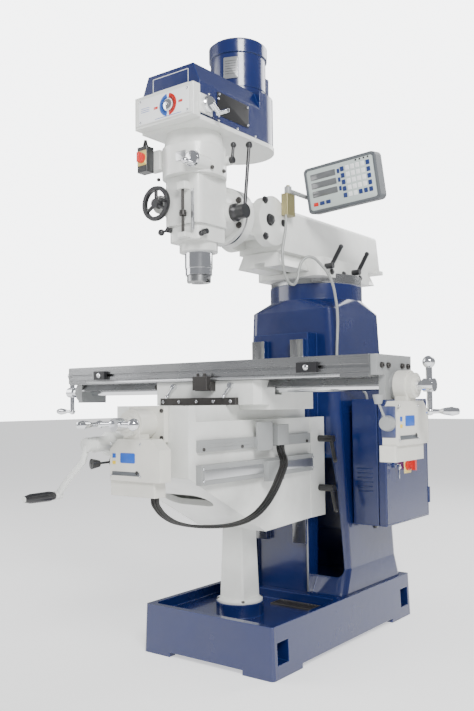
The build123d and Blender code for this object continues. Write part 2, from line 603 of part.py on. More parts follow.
def make_quill_feed_lever():
    """Downfeed lever on the right of the head."""
    x = HOUSING_X + 18 + GAP
    with BuildPart() as lever:
        turned((x, -424, 1473), (1, 0, 0), [(0, 0), (30, 0), (30, 12), (24, 20), (24, 50), (0, 50)])
        bar((x + 43, -424, 1473), (x + 43, -394, 1700), 6)
        ball((x + 43, -394, 1700), 12)
    return save(lever, "quill_feed_lever")


def make_feed_engage_lever():
    """Ball lever that reverses the power downfeed."""
    with BuildPart() as lever:
        rod((-50, HOUSING_YS[0] + 8 - GAP, 1408), (0, -1, 0), 9, 16)
        bar((-50, HOUSING_YS[0] - 4, 1408), (-62, HOUSING_YS[0] - 24, 1398), 4)
        ball((-62, HOUSING_YS[0] - 24, 1398), 11)
    return save(lever, "feed_engage_lever")


def make_switch_box():
    """Control switch box on the left of the gear case."""
    with BuildPart() as box:
        block((-148, -104), (-632, -596), (1604, 1688), corner=4)
    return save(box, "switch_box")


def make_switch_knob():
    """Rotary selector on the switch box."""
    with BuildPart() as knob:
        rod((-126, -632 - GAP, 1650), (0, -1, 0), 17, 7)
        block((-131, -121), (-652, -638), (1634, 1666))
    return save(knob, "switch_knob")


def make_brake_lever():
    """Spindle brake lever with a black knob."""
    with BuildPart() as lever:
        rod((106 + GAP, -455, 1640), (1, 0, 0), 11, 12)
        bar((112, -455, 1640), (112, -447, 1690), 5)
        ball((112, -447, 1692), 10)
    return save(lever, "brake_lever")


def make_range_lever():
    """High and low range crank on the front of the gear case."""
    y = CASE_Y - 104 - GAP
    with BuildPart() as lever:
        turned((84, y, 1610), (0, -1, 0), [(0, 0), (25, 0), (27, 4), (25, 12), (0, 14)])
        rod((84, y - 8, 1596), (0, -1, 0), 8, 34)
        ball((84, y - 42, 1596), 11)
    return save(lever, "range_lever")


def make_depth_stop_rod():
    """Threaded depth-stop rod between its two brackets."""
    with BuildPart() as stop:
        rod((23, HOUSING_YS[0] - 15, 1388), (0, 0, 1), 5, 140)
    return save(stop, "depth_stop_rod")


def make_depth_stop_nut():
    """Knurled stop nut with its lock ring."""
    with BuildPart() as nut:
        outline = [(5.3, 0), (11, 0), (12.5, 2), (12.5, 12), (11, 14), (11, 18), (5.3, 18)]
        turned((23, HOUSING_YS[0] - 15, 1442), (0, 0, 1), outline)
    return save(nut, "depth_stop_nut")


def make_quill_lock():
    """Quill lock lever at the lower front of the housing."""
    with BuildPart() as lever:
        rod((HOUSING_X - 8 + GAP, -555, 1392), (1, 0, 0), 9, 18)
        bar((HOUSING_X + 4, -555, 1392), (HOUSING_X + 16, -592, 1378), 4)
        ball((HOUSING_X + 16, -592, 1378), 9)
    return save(lever, "quill_lock_lever")


# ---- knee ----

def make_knee():
    """Hollow knee casting with a sloped underside, rear arms and saddle ways."""
    low_front, tip, low_back = KNEE_LOW
    back = WAY_FRONT - GAP
    with BuildPart() as knee:
        outline = [(KNEE_FRONT, low_front), (KNEE_TIP_Y, tip), (back, low_back), (back, KNEE_NECK_Z),
                   (KNEE_FRONT, KNEE_NECK_Z)]
        profile_yz(outline, (-KNEE_HALF, KNEE_HALF))
        block((-KNEE_NECK_HALF, KNEE_NECK_HALF), (KNEE_FRONT + 5, back), (KNEE_NECK_Z, KNEE_TOP))
        block((-KNEE_HALF, KNEE_HALF), (KNEE_FRONT, KNEE_FRONT + 36), (KNEE_NECK_Z - 1, KNEE_TOP))
        for side in (-1, 1):
            arm = sorted((side * (WAY_HALF + GAP), side * KNEE_ARM_X))
            block(arm, (back - 14, KNEE_ARM_Y), (low_back, KNEE_NECK_Z))
        wall = KNEE_WALL
        inner = [(KNEE_FRONT + wall + 8, low_front + 14), (KNEE_TIP_Y, tip + wall + 4), (back - wall, low_back + wall),
                 (back - wall, KNEE_NECK_Z - wall), (KNEE_FRONT + wall + 8, KNEE_NECK_Z - wall)]
        profile_yz(inner, (-KNEE_HALF + wall, KNEE_HALF - wall), Mode.SUBTRACT)
        block((-60, 60), (KNEE_FRONT + 70, -80), (KNEE_NECK_Z - wall - 1, KNEE_TOP + 1), Mode.SUBTRACT)
        block((-64, 64), (LIFT_Y - 62, LIFT_Y + 62), (tip - 10, low_back + 60), Mode.SUBTRACT, 12)
        slope = math.degrees(math.atan2(low_front - tip, KNEE_TIP_Y - KNEE_FRONT))
        window = Plane(origin=(0, -560, low_front - (KNEE_FRONT + 560) * -math.tan(math.radians(slope))),
                       x_dir=(1, 0, 0), z_dir=(0, math.sin(math.radians(-slope)), -math.cos(math.radians(slope))))
        with BuildSketch(window.offset(-40)) as oval:
            SlotOverall(190, 92)
        extrude(oval.sketch, amount=80, mode=Mode.SUBTRACT)
        block((-KNEE_HALF + wall - 1, KNEE_HALF - wall + 1), (LIFT_Y - 46, LIFT_Y + 46), (690, 706))
        rod((0, LIFT_Y, 680), (0, 0, 1), LIFT_SCREW_R + GAP, 40, Mode.SUBTRACT)
        rod((0, KNEE_FRONT - 1, Y_SCREW_Z), (0, 1, 0), 34, KNEE_WALL + 60, Mode.SUBTRACT)
        rod((CRANK_X, KNEE_FRONT - 1, CRANK_Z), (0, 1, 0), 10 + GAP, 19, Mode.SUBTRACT)
    return save(knee, "knee")


def make_elevating_screw():
    """Elevating screw with its bevel gear inside the knee."""
    low, high = LIFT_SCREW_Z
    with BuildPart() as screw:
        rod((0, LIFT_Y, low), (0, 0, 1), LIFT_SCREW_R, high - low)
        turned((0, LIFT_Y, 707), (0, 0, 1), [(0, 0), (52, 0), (52, 8), (36, 26), (0, 26)])
    return save(screw, "elevating_screw")


def make_knee_crank():
    """Safety crank for the knee: shaft, dial, clutch, curved arm and grip."""
    y = KNEE_FRONT
    arm_y, reach = y - 143, (-125.0, -156.0)
    end = (CRANK_X + reach[0], arm_y - 8, CRANK_Z + reach[1])
    with BuildPart() as crank:
        rod((CRANK_X, y + 17, CRANK_Z), (0, -1, 0), 10, 60)
        turned((CRANK_X, y - GAP, CRANK_Z), (0, -1, 0),
               [(0, 0), (34, 0), (34, 30), (37, 34), (37, 58), (24, 62), (24, 118), (0, 118)])
        rod((CRANK_X, y - 117, CRANK_Z), (0, -1, 0), 22, 34)
        path = [(CRANK_X, arm_y, CRANK_Z), (CRANK_X - 12, arm_y - 6, CRANK_Z - 50),
                (CRANK_X - 74, arm_y - 8, CRANK_Z - 104), end]
        for start, stop in zip(path, path[1:]):
            bar(start, stop, 10)
            ball(stop, 10)
        rod((end[0], end[1] + 12, end[2]), (0, -1, 0), 14, 24)
        grip = [(0, 0), (11, 0), (15, 20), (14, 90), (9, 112), (0, 112)]
        turned((end[0], end[1] - 12, end[2]), (0, -1, 0), grip)
    return save(crank, "knee_crank")


def make_knee_lock(name, z):
    """Knee clamp lever reaching out from the rear arm."""
    with BuildPart() as lever:
        rod((KNEE_ARM_X + GAP, -2, z), (1, 0, 0), 12, 62)
        bar((KNEE_ARM_X + 50, -2, z), (KNEE_ARM_X + 66, -2, z - 78), 7)
        ball((KNEE_ARM_X + 66, -2, z - 78), 8)
    return save(lever, name)


def make_knee_scale():
    """Dog rail, scale cover, reader heads and limit switch on the knee's right side."""
    x = KNEE_HALF
    with BuildPart() as scale:
        block((x, x + 12), (-690, -75), (700, 735))
        block((x + 11, x + 13), (-650, -430), (712, 722))
        block((x, x + 22), (-692, -75), (603, 662))
        block((x + 22, x + 30), (-420, -335), (690, 782))
        block((x + 12, x + 23), (-420, -335), (700, 735))
        block((x + 22, x + 40), (-378, -285), (590, 655))
        block((x + 12, x + 44), (-325, -262), (704, 772))
    return save(scale, "knee_scale")


# ---- saddle and table ----

def make_saddle():
    """Saddle with gib flanges over the knee, a dovetail groove for the table and the Y nut."""
    front, back = SADDLE_YS
    with BuildPart() as saddle:
        with BuildSketch(Plane.XY.offset(KNEE_TOP + GAP)) as plan:
            with BuildLine():
                Polyline((-SADDLE_X, back), (-SADDLE_X, front + 60), (-SADDLE_X + 45, front), (SADDLE_X - 20, front),
                         (SADDLE_X, front + 20), (SADDLE_X, back), close=True)
            make_face()
        extrude(plan.sketch, amount=SADDLE_Z[1] - KNEE_TOP - GAP)
        for side in (-1, 1):
            flange = sorted((side * (KNEE_NECK_HALF + GAP), side * SADDLE_X))
            block(flange, (front + 60, back), (SADDLE_Z[0], KNEE_TOP + GAP + 1))
        low, high = TABLE_TAIL_HALF[0] + 2 * GAP, TABLE_TAIL_HALF[1] + 2 * GAP
        groove = [(X_SCREW_Y - low, TABLE_TAIL_Z - GAP), (X_SCREW_Y + low, TABLE_TAIL_Z - GAP),
                  (X_SCREW_Y + high, TABLE_Z[0]), (X_SCREW_Y - high, TABLE_Z[0])]
        profile_yz(groove, (-SADDLE_X - 1, SADDLE_X + 1), Mode.SUBTRACT)
        block((-SADDLE_X - 1, SADDLE_X + 1), (X_SCREW_Y - 20, X_SCREW_Y + 20), (870, 895), Mode.SUBTRACT)
        block((-38, 38), (-420, -340), (768, KNEE_TOP + GAP + 2))
        rod((0, -421, Y_SCREW_Z), (0, 1, 0), Y_SCREW_R + GAP, 82, Mode.SUBTRACT)
    return save(saddle, "saddle")


def make_saddle_fittings():
    """Wiper bar and limit switch block on the saddle's front."""
    front = SADDLE_YS[0]
    with BuildPart() as fittings:
        block((-160, 158), (front - 16, front), (KNEE_TOP + GAP, 862))
        block((0, 66), (front - 24, front), (884, 914))
        block((4, 62), (front - 42, front - 20), (886, 930))
        for x in (18, 46):
            rod((x, front - 31, 930), (0, 0, 1), 5, 10)
    return save(fittings, "saddle_fittings")


def make_table_lock(name, x):
    """Table clamp lever on the saddle's front."""
    y = SADDLE_YS[0]
    with BuildPart() as lever:
        rod((x, y - GAP, 900), (0, -1, 0), 9, 14)
        bar((x, y - 9, 900), (x - 14, y - 26, 866), 4)
        ball((x - 14, y - 26, 866), 6)
    return save(lever, name)


def make_table():
    """Table with three T-slots, a stop groove in front and a male dovetail beneath."""
    front, back = TABLE_YS
    with BuildPart() as table:
        block((-TABLE_X, TABLE_X), TABLE_YS, TABLE_Z)
        low, high = TABLE_TAIL_HALF
        tail = [(X_SCREW_Y - low, TABLE_TAIL_Z), (X_SCREW_Y + low, TABLE_TAIL_Z),
                (X_SCREW_Y + high, TABLE_Z[0]), (X_SCREW_Y - high, TABLE_Z[0])]
        profile_yz(tail, (-TABLE_X, TABLE_X))
        block((-TABLE_X - 1, TABLE_X + 1), (X_SCREW_Y - 18, X_SCREW_Y + 18), (TABLE_TAIL_Z - 1, 908), Mode.SUBTRACT)
        for index in (-1, 0, 1):
            y = X_SCREW_Y + index * SLOT_PITCH
            top, foot = SLOT_W / 2, SLOT_FOOT_W / 2
            block((-TABLE_X - 1, TABLE_X + 1), (y - top, y + top), (TABLE_Z[1] - SLOT_DEEP, TABLE_Z[1] + 1), Mode.SUBTRACT)
            z = TABLE_Z[1] - SLOT_DEEP
            block((-TABLE_X - 1, TABLE_X + 1), (y - foot, y + foot), (z, z + SLOT_FOOT_H), Mode.SUBTRACT)
        block((-TABLE_X - 1, TABLE_X + 1), (front - 1, front + 9), (942, 952), Mode.SUBTRACT)
        block((-TABLE_X - 1, TABLE_X + 1), (front - 1, front + 4), (928, 930), Mode.SUBTRACT)
    return save(table, "table")


def make_table_brackets():
    """Leadscrew end brackets, one at each end of the table."""
    with BuildPart() as brackets:
        for side in (-1, 1):
            x0, x1 = sorted((side * TABLE_X, side * (TABLE_X + 20)))
            block((x0, x1), (X_SCREW_Y - 110, X_SCREW_Y + 110), (TABLE_Z[0] + 4, TABLE_Z[1]))
            block((x0, x1), (X_SCREW_Y - 62, X_SCREW_Y + 62), (850, TABLE_Z[0] + 5))
        hubs = ((-TABLE_X - 20, -1, 45), (TABLE_X + 20, 1, 12))
        for x, side, length in hubs:
            rod((x, X_SCREW_Y, X_SCREW_Z), (side, 0, 0), 39, length)
        for side in (-1, 1):
            rod((side * (TABLE_X - 2), X_SCREW_Y, X_SCREW_Z), (side, 0, 0), X_SCREW_R + GAP, 80, Mode.SUBTRACT)
    return save(brackets, "table_brackets")


def ball_crank(hub, axis, arm):
    """Ball crank: hub, counterweight ball and a shaped grip parallel to the screw."""
    centre, out, along = Vector(*hub), Vector(*axis), Vector(*arm)
    rod(tuple(centre - out * 16), axis, 19, 32)
    ball_at = centre + along * BALL_ARM
    grip_at = centre - along * GRIP_ARM
    bar(tuple(centre), tuple(ball_at), 9)
    ball(tuple(ball_at), BALL_R)
    bar(tuple(centre), tuple(grip_at), 8)
    ball(tuple(grip_at), 12)
    outline = [(0, 8), (7, 8), (6, 30), (10, 44), (13, 66), (9, GRIP_LEN - 4), (0, GRIP_LEN)]
    turned(tuple(grip_at), axis, outline)


def make_x_screw():
    """Table leadscrew with a ball crank at each end."""
    with BuildPart() as screw:
        rod((-X_HUB, X_SCREW_Y, X_SCREW_Z), (1, 0, 0), X_SCREW_R, 2 * X_HUB)
        for side in (-1, 1):
            ball_crank((side * X_HUB, X_SCREW_Y, X_SCREW_Z), (side, 0, 0), (0, 0, 1))
    return save(screw, "x_screw")


def make_y_screw():
    """Saddle leadscrew with its ball crank at the front."""
    with BuildPart() as screw:
        rod((0, Y_HUB, Y_SCREW_Z), (0, 1, 0), Y_SCREW_R, 780)
        ball_crank((0, Y_HUB, Y_SCREW_Z), (0, -1, 0), (1, 0, 0))
    return save(screw, "y_screw")


def feed_outline(side, face_sign, hub):
    """Outline points of a feed unit across its width, from its control side to its back."""
    left, right = -side * face_sign, (FEED_W - side) * face_sign
    top, bottom = hub - FEED_DROP[0], hub - FEED_DROP[1]
    lean = 34 * face_sign
    return [(left, bottom), (right, bottom), (right, top - 30), (right - lean, top), (left + lean, top),
            (left, top - 30)]


def make_x_feed_unit():
    """Table power feed: gearbox neck, chamfered motor case and base band."""
    face = X_FEED_FACE
    inner = face - FEED_T
    with BuildPart() as unit:
        points = [(X_SCREW_Y + u, z) for u, z in feed_outline(X_FEED_SIDE, 1, X_SCREW_Z)]
        profile_yz(points, (inner + 8, face))
        band = (X_SCREW_Z - FEED_DROP[2], X_SCREW_Z - FEED_DROP[1])
        block((inner, face - 7), (X_SCREW_Y - X_FEED_SIDE - 6, X_SCREW_Y + 84), band, corner=4)
        block((TABLE_X + 34.5, face - 5), (X_SCREW_Y - 32, X_SCREW_Y + 32), (X_SCREW_Z - 60, X_SCREW_Z))
        rod((TABLE_X + 32.5, X_SCREW_Y, X_SCREW_Z), (1, 0, 0), 44, face - 5 - TABLE_X - 32.5)
        rod((face - 6, X_SCREW_Y, X_SCREW_Z), (1, 0, 0), 36, 18)
        rod((face + 10, X_SCREW_Y, X_SCREW_Z), (1, 0, 0), 22, 8)
        rod((TABLE_X, X_SCREW_Y, X_SCREW_Z), (1, 0, 0), X_SCREW_R + GAP, 140, Mode.SUBTRACT)
    return save(unit, "x_feed_unit")


def make_x_feed_lever():
    """Direction lever of the table feed."""
    x, y, z = 668.0, X_SCREW_Y - X_FEED_SIDE - GAP, 784.0
    with BuildPart() as lever:
        turned((x, y, z), (0, -1, 0), [(0, 0), (22, 0), (22, 6), (19, 20), (0, 22)])
        bar((x, y - 10, z), (x - 20, y - 20, z + 60), 3.5)
        turned((x - 20, y - 20, z + 54), (0, 0, 1), [(0, 0), (10, 0), (16, 26), (0, 28)])
    return save(lever, "x_feed_lever")


def make_y_feed_unit():
    """Saddle power feed with its flange on the knee's front."""
    face = Y_FEED_FACE
    inner = face + FEED_T
    with BuildPart() as unit:
        points = feed_outline(Y_FEED_SIDE, 1, Y_SCREW_Z)
        profile_xz(points, (face, inner - 8))
        band = (Y_SCREW_Z - FEED_DROP[2], Y_SCREW_Z - FEED_DROP[1])
        block((-Y_FEED_SIDE - 6, 90), (face + 7, inner), band, corner=4)
        block((-32, 32), (face + 5, inner - 8), (Y_SCREW_Z - 60, Y_SCREW_Z))
        rod((0, face + 5, Y_SCREW_Z), (0, 1, 0), 44, KNEE_FRONT - face - 24)
        block((-78, 72), (KNEE_FRONT - 20, KNEE_FRONT), (730, KNEE_TOP), corner=4)
        rod((0, face + 6, Y_SCREW_Z), (0, -1, 0), 36, 18)
        rod((0, face - 10, Y_SCREW_Z), (0, -1, 0), 22, 8)
        rod((0, face - 40, Y_SCREW_Z), (0, 1, 0), Y_SCREW_R + GAP, 160, Mode.SUBTRACT)
    return save(unit, "y_feed_unit")


def make_y_feed_lever():
    """Direction lever of the saddle feed."""
    x, y, z = -Y_FEED_SIDE - GAP, Y_FEED_FACE + 28.0, 672.0
    with BuildPart() as lever:
        turned((x, y, z), (-1, 0, 0), [(0, 0), (20, 0), (20, 6), (17, 16), (0, 18)])
        bar((x - 8, y, z), (x - 26, y - 56, z - 4), 3.5)
        turned((x - 22, y - 50, z - 4), (-0.3, -0.954, 0), [(0, 0), (10, 0), (16, 26), (0, 28)])
    return save(lever, "y_feed_lever")


def make_trip_dogs():
    """Travel stops clamped in the table's front groove."""
    front = TABLE_YS[0]
    with BuildPart() as dogs:
        for x0, x1 in ((-478, -422), (390, 460)):
            block((x0, x1), (front - 15, front), (932, 962), corner=2)
            block((x0 + 14, x1 - 14), (front, front + 7), (943, 951))
    return save(dogs, "trip_dogs")


# ---- cables held on the machine ----

def cable(name, points, radius, count=1, pitch=0.0):
    """Tubes of straight runs and tangent arcs, side by side; prints their arc radii and volume ratio."""
    radii = []
    for before, corner, after in zip(points, points[1:], points[2:]):
        first, second = Vector(*corner) - Vector(*before), Vector(*after) - Vector(*corner)
        turn = math.radians(first.get_angle(second))
        radii.append(0.45 * min(first.length, second.length) / math.tan(turn / 2))
    with BuildPart() as tube:
        for index in range(count):
            route = [(x - index * pitch, y, z) for x, y, z in points]
            with BuildLine() as path:
                FilletPolyline(*route, radius=radii)
            start = Vector(*route[0])
            heading = (Vector(*route[1]) - start).normalized()
            with BuildSketch(Plane(origin=tuple(start), z_dir=tuple(heading))) as section:
                Circle(radius)
            sweep(section.sketch, path=path.line)
    length = sum(edge.length for edge in path.edges())
    ratio = tube.part.volume / (count * length * math.pi * radius ** 2)
    print(name, "arc radii", [round(r) for r in radii], "length", round(length), "volume ratio", round(ratio, 3))
    return save(tube, name)


CONDUIT_R, FEED_CABLE_R = 5.0, 4.5
CONDUIT_UPPER = [(118, -150, 1512), (118, -150, 1468), (118, -165, 1420), (117, -176, 1372), (118, -172, 1324),
                 (119, -158, 1286), (121, -136, 1264), (123, -108, 1264), (125, -90, 1286), (128, -86, 1320),
                 (134, -78, 1352), (150, -60, 1372), (168, -40, 1366), (182, -24, 1344)]
CONDUIT_MIDDLE = [(182, -24, 1344), (196, -8, 1322), (206, 8, 1290), (210, 22, 1256), (211, 30, 1224)]
CONDUIT_LOWER = [(211, 30, 1224), (212, 38, 1192), (211, 44, 1142), (209, 43, 1092), (208, 38, 1042), (208, 36, 992),
                 (210, 44, 946), (218, 66, 912), (236, 98, 900), (254, 128, 892), (266, 146, 874), (268, 150, 852)]
FEED_CABLE_PITCH = 11.0
FEED_CABLE = [(80, -785, 573), (80, -785, 553), (94, -772, 524), (118, -748, 500), (150, -708, 486), (182, -652, 480),
              (206, -594, 478), (218, -534, 484), (222, -476, 500), (224, -424, 530), (225, -380, 570),
              (224, -348, 608), (219, -318, 638), (206, -299, 660), (192, -291, 675), (186, -289, 690), (186, -289, 704)]


def main():
    """Build and write every sub-part."""
    make_base()
    make_pedestal()
    make_column()
    make_cabinet()
    make_cabinet_door()
    make_main_switch()
    make_turret()
    make_ram_lock("ram_lock_front", CLAMP_YS[0])
    make_ram_lock("ram_lock_rear", CLAMP_YS[1])
    make_ram()
    make_dro_bracket()
    make_dro_arm()
    make_dro_display()
    make_ram_adapter()
    make_head_housing()
    make_gear_case()
    make_belt_housing()
    make_speed_cover()
    make_dial_box()
    make_motor()
    make_spindle_pulley()
    make_motor_pulley()
    make_drive_belt()
    make_quill()
    make_spindle()
    make_drawbar()
    make_speed_crank()
    make_fine_feed_wheel()
    make_quill_feed_lever()
    make_feed_engage_lever()
    make_switch_box()
    make_switch_knob()
    make_brake_lever()
    make_range_lever()
    make_depth_stop_rod()
    make_depth_stop_nut()
    make_quill_lock()
    make_knee()
    make_elevating_screw()
    make_knee_crank()
    make_knee_lock("knee_lock_upper", LOCK_ZS[0])
    make_knee_lock("knee_lock_lower", LOCK_ZS[1])
    make_knee_scale()
    make_saddle()
    make_saddle_fittings()
    make_table_lock("table_lock_left", -108)
    make_table_lock("table_lock_right", 132)
    make_table()
    make_table_brackets()
    make_x_screw()
    make_y_screw()
    make_x_feed_unit()
    make_x_feed_lever()
    make_y_feed_unit()
    make_y_feed_lever()
    make_trip_dogs()
    cable("dro_conduit_upper", CONDUIT_UPPER, CONDUIT_R)
    cable("dro_conduit_middle", CONDUIT_MIDDLE, CONDUIT_R)
    cable("dro_conduit_lower", CONDUIT_LOWER, CONDUIT_R)
    cable("feed_cable", FEED_CABLE, FEED_CABLE_R, 3, FEED_CABLE_PITCH)


if __name__ == "__main__":
    main()
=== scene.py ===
"""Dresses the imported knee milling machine: finishes, dials, panels and small hardware, in a pale studio."""
import json
import logging
import math
from dataclasses import dataclass
from enum import Enum
from typing import Callable, Sequence

import bpy
from mathutils import Matrix, Vector


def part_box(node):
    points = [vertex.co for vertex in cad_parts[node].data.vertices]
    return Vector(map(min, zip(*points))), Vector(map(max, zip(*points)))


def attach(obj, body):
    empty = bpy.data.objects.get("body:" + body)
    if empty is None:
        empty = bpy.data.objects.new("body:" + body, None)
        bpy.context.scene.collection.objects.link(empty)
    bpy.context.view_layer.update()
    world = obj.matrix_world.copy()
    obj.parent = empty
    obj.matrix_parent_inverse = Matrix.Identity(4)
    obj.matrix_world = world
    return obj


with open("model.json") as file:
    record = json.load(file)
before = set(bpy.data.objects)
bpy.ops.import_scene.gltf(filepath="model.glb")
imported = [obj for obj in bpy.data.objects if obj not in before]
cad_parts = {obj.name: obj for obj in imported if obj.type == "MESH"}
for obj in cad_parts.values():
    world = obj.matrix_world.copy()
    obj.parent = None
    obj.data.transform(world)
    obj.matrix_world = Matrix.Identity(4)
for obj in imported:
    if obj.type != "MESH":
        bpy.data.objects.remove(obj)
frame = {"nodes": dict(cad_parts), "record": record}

LOG = logging.getLogger("mill")
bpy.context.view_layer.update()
MM = 0.001

Colour = tuple[float, float, float]
Outline = Sequence[tuple[float, float]]


# ---- finishes ----

@dataclass(frozen=True)
class Finish:
    """One finish: colour, gloss, relief, and wear with painted highlights at the edges of a surface."""

    slot: str
    colour: Colour
    roughness: float
    metallic: float = 0.0
    coat: float = 0.0
    relief: float = 0.0002
    grain: float = 120.0
    stretch: Colour = (1.0, 1.0, 1.0)
    # Edge colour and amount: worn paint along sharp edges, together with painted highlights on those edges.
    scuff_and_highlight_colour: Colour = (0.6, 0.6, 0.6)
    edge: float = 0.2
    grime: float = 0.15
    shade: float = 0.12
    rounding: float = 0.0015


FINISHES: dict[str, Finish] = {
    finish.slot: finish
    for finish in (
        Finish("blue_paint", (0.004, 0.013, 0.085), 0.24, coat=0.55, relief=0.0009,
               grain=34.0, scuff_and_highlight_colour=(0.025, 0.06, 0.22), edge=0.4, grime=0.08, rounding=0.005),
        Finish("white_paint", (0.74, 0.75, 0.72), 0.30, coat=0.35, relief=0.0008,
               grain=38.0, scuff_and_highlight_colour=(0.86, 0.86, 0.83), edge=0.3, grime=0.22, rounding=0.004),
        Finish("ground_steel", (0.32, 0.325, 0.33), 0.25, metallic=0.92, relief=0.00012,
               grain=260.0, stretch=(0.05, 1.0, 1.0), scuff_and_highlight_colour=(0.8, 0.8, 0.8), grime=0.20, rounding=0.001),
        Finish("dark_steel", (0.055, 0.052, 0.050), 0.42, metallic=0.65, relief=0.0002,
               grain=180.0, scuff_and_highlight_colour=(0.35, 0.34, 0.33), edge=0.5, grime=0.3),
        Finish("chrome", (0.80, 0.81, 0.83), 0.09, metallic=1.0, relief=0.00003,
               grain=90.0, scuff_and_highlight_colour=(0.9, 0.9, 0.9), grime=0.10, shade=0.05, rounding=0.001),
        Finish("black_plastic", (0.014, 0.014, 0.016), 0.32, coat=0.25, relief=0.00008, grain=420.0,
               scuff_and_highlight_colour=(0.07, 0.07, 0.07), grime=0.10, rounding=0.001),
        Finish("feed_cream", (0.70, 0.69, 0.63), 0.36, coat=0.2, relief=0.00012, grain=500.0,
               scuff_and_highlight_colour=(0.8, 0.79, 0.74), grime=0.16, rounding=0.003),
        Finish("panel_grey", (0.10, 0.11, 0.12), 0.45, relief=0.0001, grain=420.0, scuff_and_highlight_colour=(0.25, 0.26, 0.27),
               grime=0.08, rounding=0.003),
        Finish("olive_zinc", (0.34, 0.30, 0.15), 0.38, metallic=0.7, relief=0.0001,
               grain=150.0, scuff_and_highlight_colour=(0.6, 0.56, 0.4), grime=0.2),
        Finish("red_plastic", (0.60, 0.018, 0.012), 0.28, coat=0.3, relief=0.00005, grain=300.0,
               scuff_and_highlight_colour=(0.75, 0.1, 0.08), grime=0.05),
        Finish("grey_paint", (0.30, 0.31, 0.31), 0.40, coat=0.1, relief=0.0006, grain=46.0,
               scuff_and_highlight_colour=(0.5, 0.5, 0.5), edge=0.3, grime=0.2, rounding=0.002),
        Finish("belt_rubber", (0.02, 0.02, 0.02), 0.75, relief=0.0002, grain=200.0, grime=0.2),
        Finish("cable_grey", (0.33, 0.34, 0.33), 0.40, metallic=0.35, relief=0.0006, grain=330.0,
               stretch=(1.0, 1.0, 2.2), grime=0.25, rounding=0.0005),
        Finish("cable_black", (0.012, 0.012, 0.012), 0.45, relief=0.0001, grain=240.0, grime=0.15, rounding=0.0005),
        Finish("aluminium_part", (0.62, 0.63, 0.64), 0.32, metallic=0.95, relief=0.0001,
               grain=220.0, stretch=(1.0, 1.0, 0.06), grime=0.15),
    )
}

TRIM: dict[str, Finish] = {
    "navy_panel": Finish("panel_grey", (0.012, 0.030, 0.135), 0.34, relief=0.00004, grain=400.0, grime=0.04),
    "white_print": Finish("white_paint", (0.86, 0.87, 0.87), 0.42, relief=0.00003, grain=400.0, grime=0.03),
    "pale_face": Finish("panel_grey", (0.50, 0.56, 0.54), 0.40, relief=0.00004, grain=500.0, grime=0.03),
    "screen": Finish("panel_grey", (0.12, 0.125, 0.13), 0.14, coat=0.6, relief=0.00001, grain=100.0, grime=0.02),
    "yellow_plate": Finish("feed_cream", (0.85, 0.60, 0.03), 0.35, relief=0.00004, grain=400.0, grime=0.06),
    "blue_print": Finish("blue_paint", (0.010, 0.10, 0.50), 0.36, relief=0.00003, grain=400.0, grime=0.02),
    "matt_black": Finish("black_plastic", (0.006, 0.006, 0.007), 0.65, relief=0.00002, grain=300.0, grime=0.0),
    "tick_black": Finish("black_plastic", (0.02, 0.02, 0.02), 0.5, relief=0.00002, grain=300.0, grime=0.0),
}


class Nodes:
    """Short hand for adding and joining shader nodes in one tree."""

    def __init__(self, tree: bpy.types.NodeTree) -> None:
        """Keeps the tree that nodes are added to."""
        self.tree = tree

    def add(self, kind: str, **settings: object) -> bpy.types.Node:
        """Adds a node.

        Args:
            kind: the node's type name.
            settings: properties to set on it.

        Returns:
            The new node.
        """
        node = self.tree.nodes.new(kind)
        for key, value in settings.items():
            setattr(node, key, value)
        return node

    def join(self, source: bpy.types.NodeSocket, target: bpy.types.NodeSocket) -> None:
        """Links one socket to another."""
        self.tree.links.new(source, target)

    def maths(self, operation: str, first: object, second: object) -> bpy.types.NodeSocket:
        """Adds a Math node fed by sockets or numbers.

        Args:
            operation: the Math node's operation.
            first: a socket or a number.
            second: a socket or a number.

        Returns:
            The node's output socket.
        """
        node = self.add("ShaderNodeMath", operation=operation)
        for index, value in enumerate((first, second)):
            if isinstance(value, (int, float)):
                node.inputs[index].default_value = value
            else:
                self.join(value, node.inputs[index])
        return node.outputs[0]

    def noise(self, vector: bpy.types.NodeSocket, scale: float, detail: float = 3.0) -> bpy.types.Node:
        """Adds a Noise Texture read at a vector."""
        node = self.add("ShaderNodeTexNoise")
        node.inputs["Scale"].default_value = scale
        node.inputs["Detail"].default_value = detail
        self.join(vector, node.inputs["Vector"])
        return node


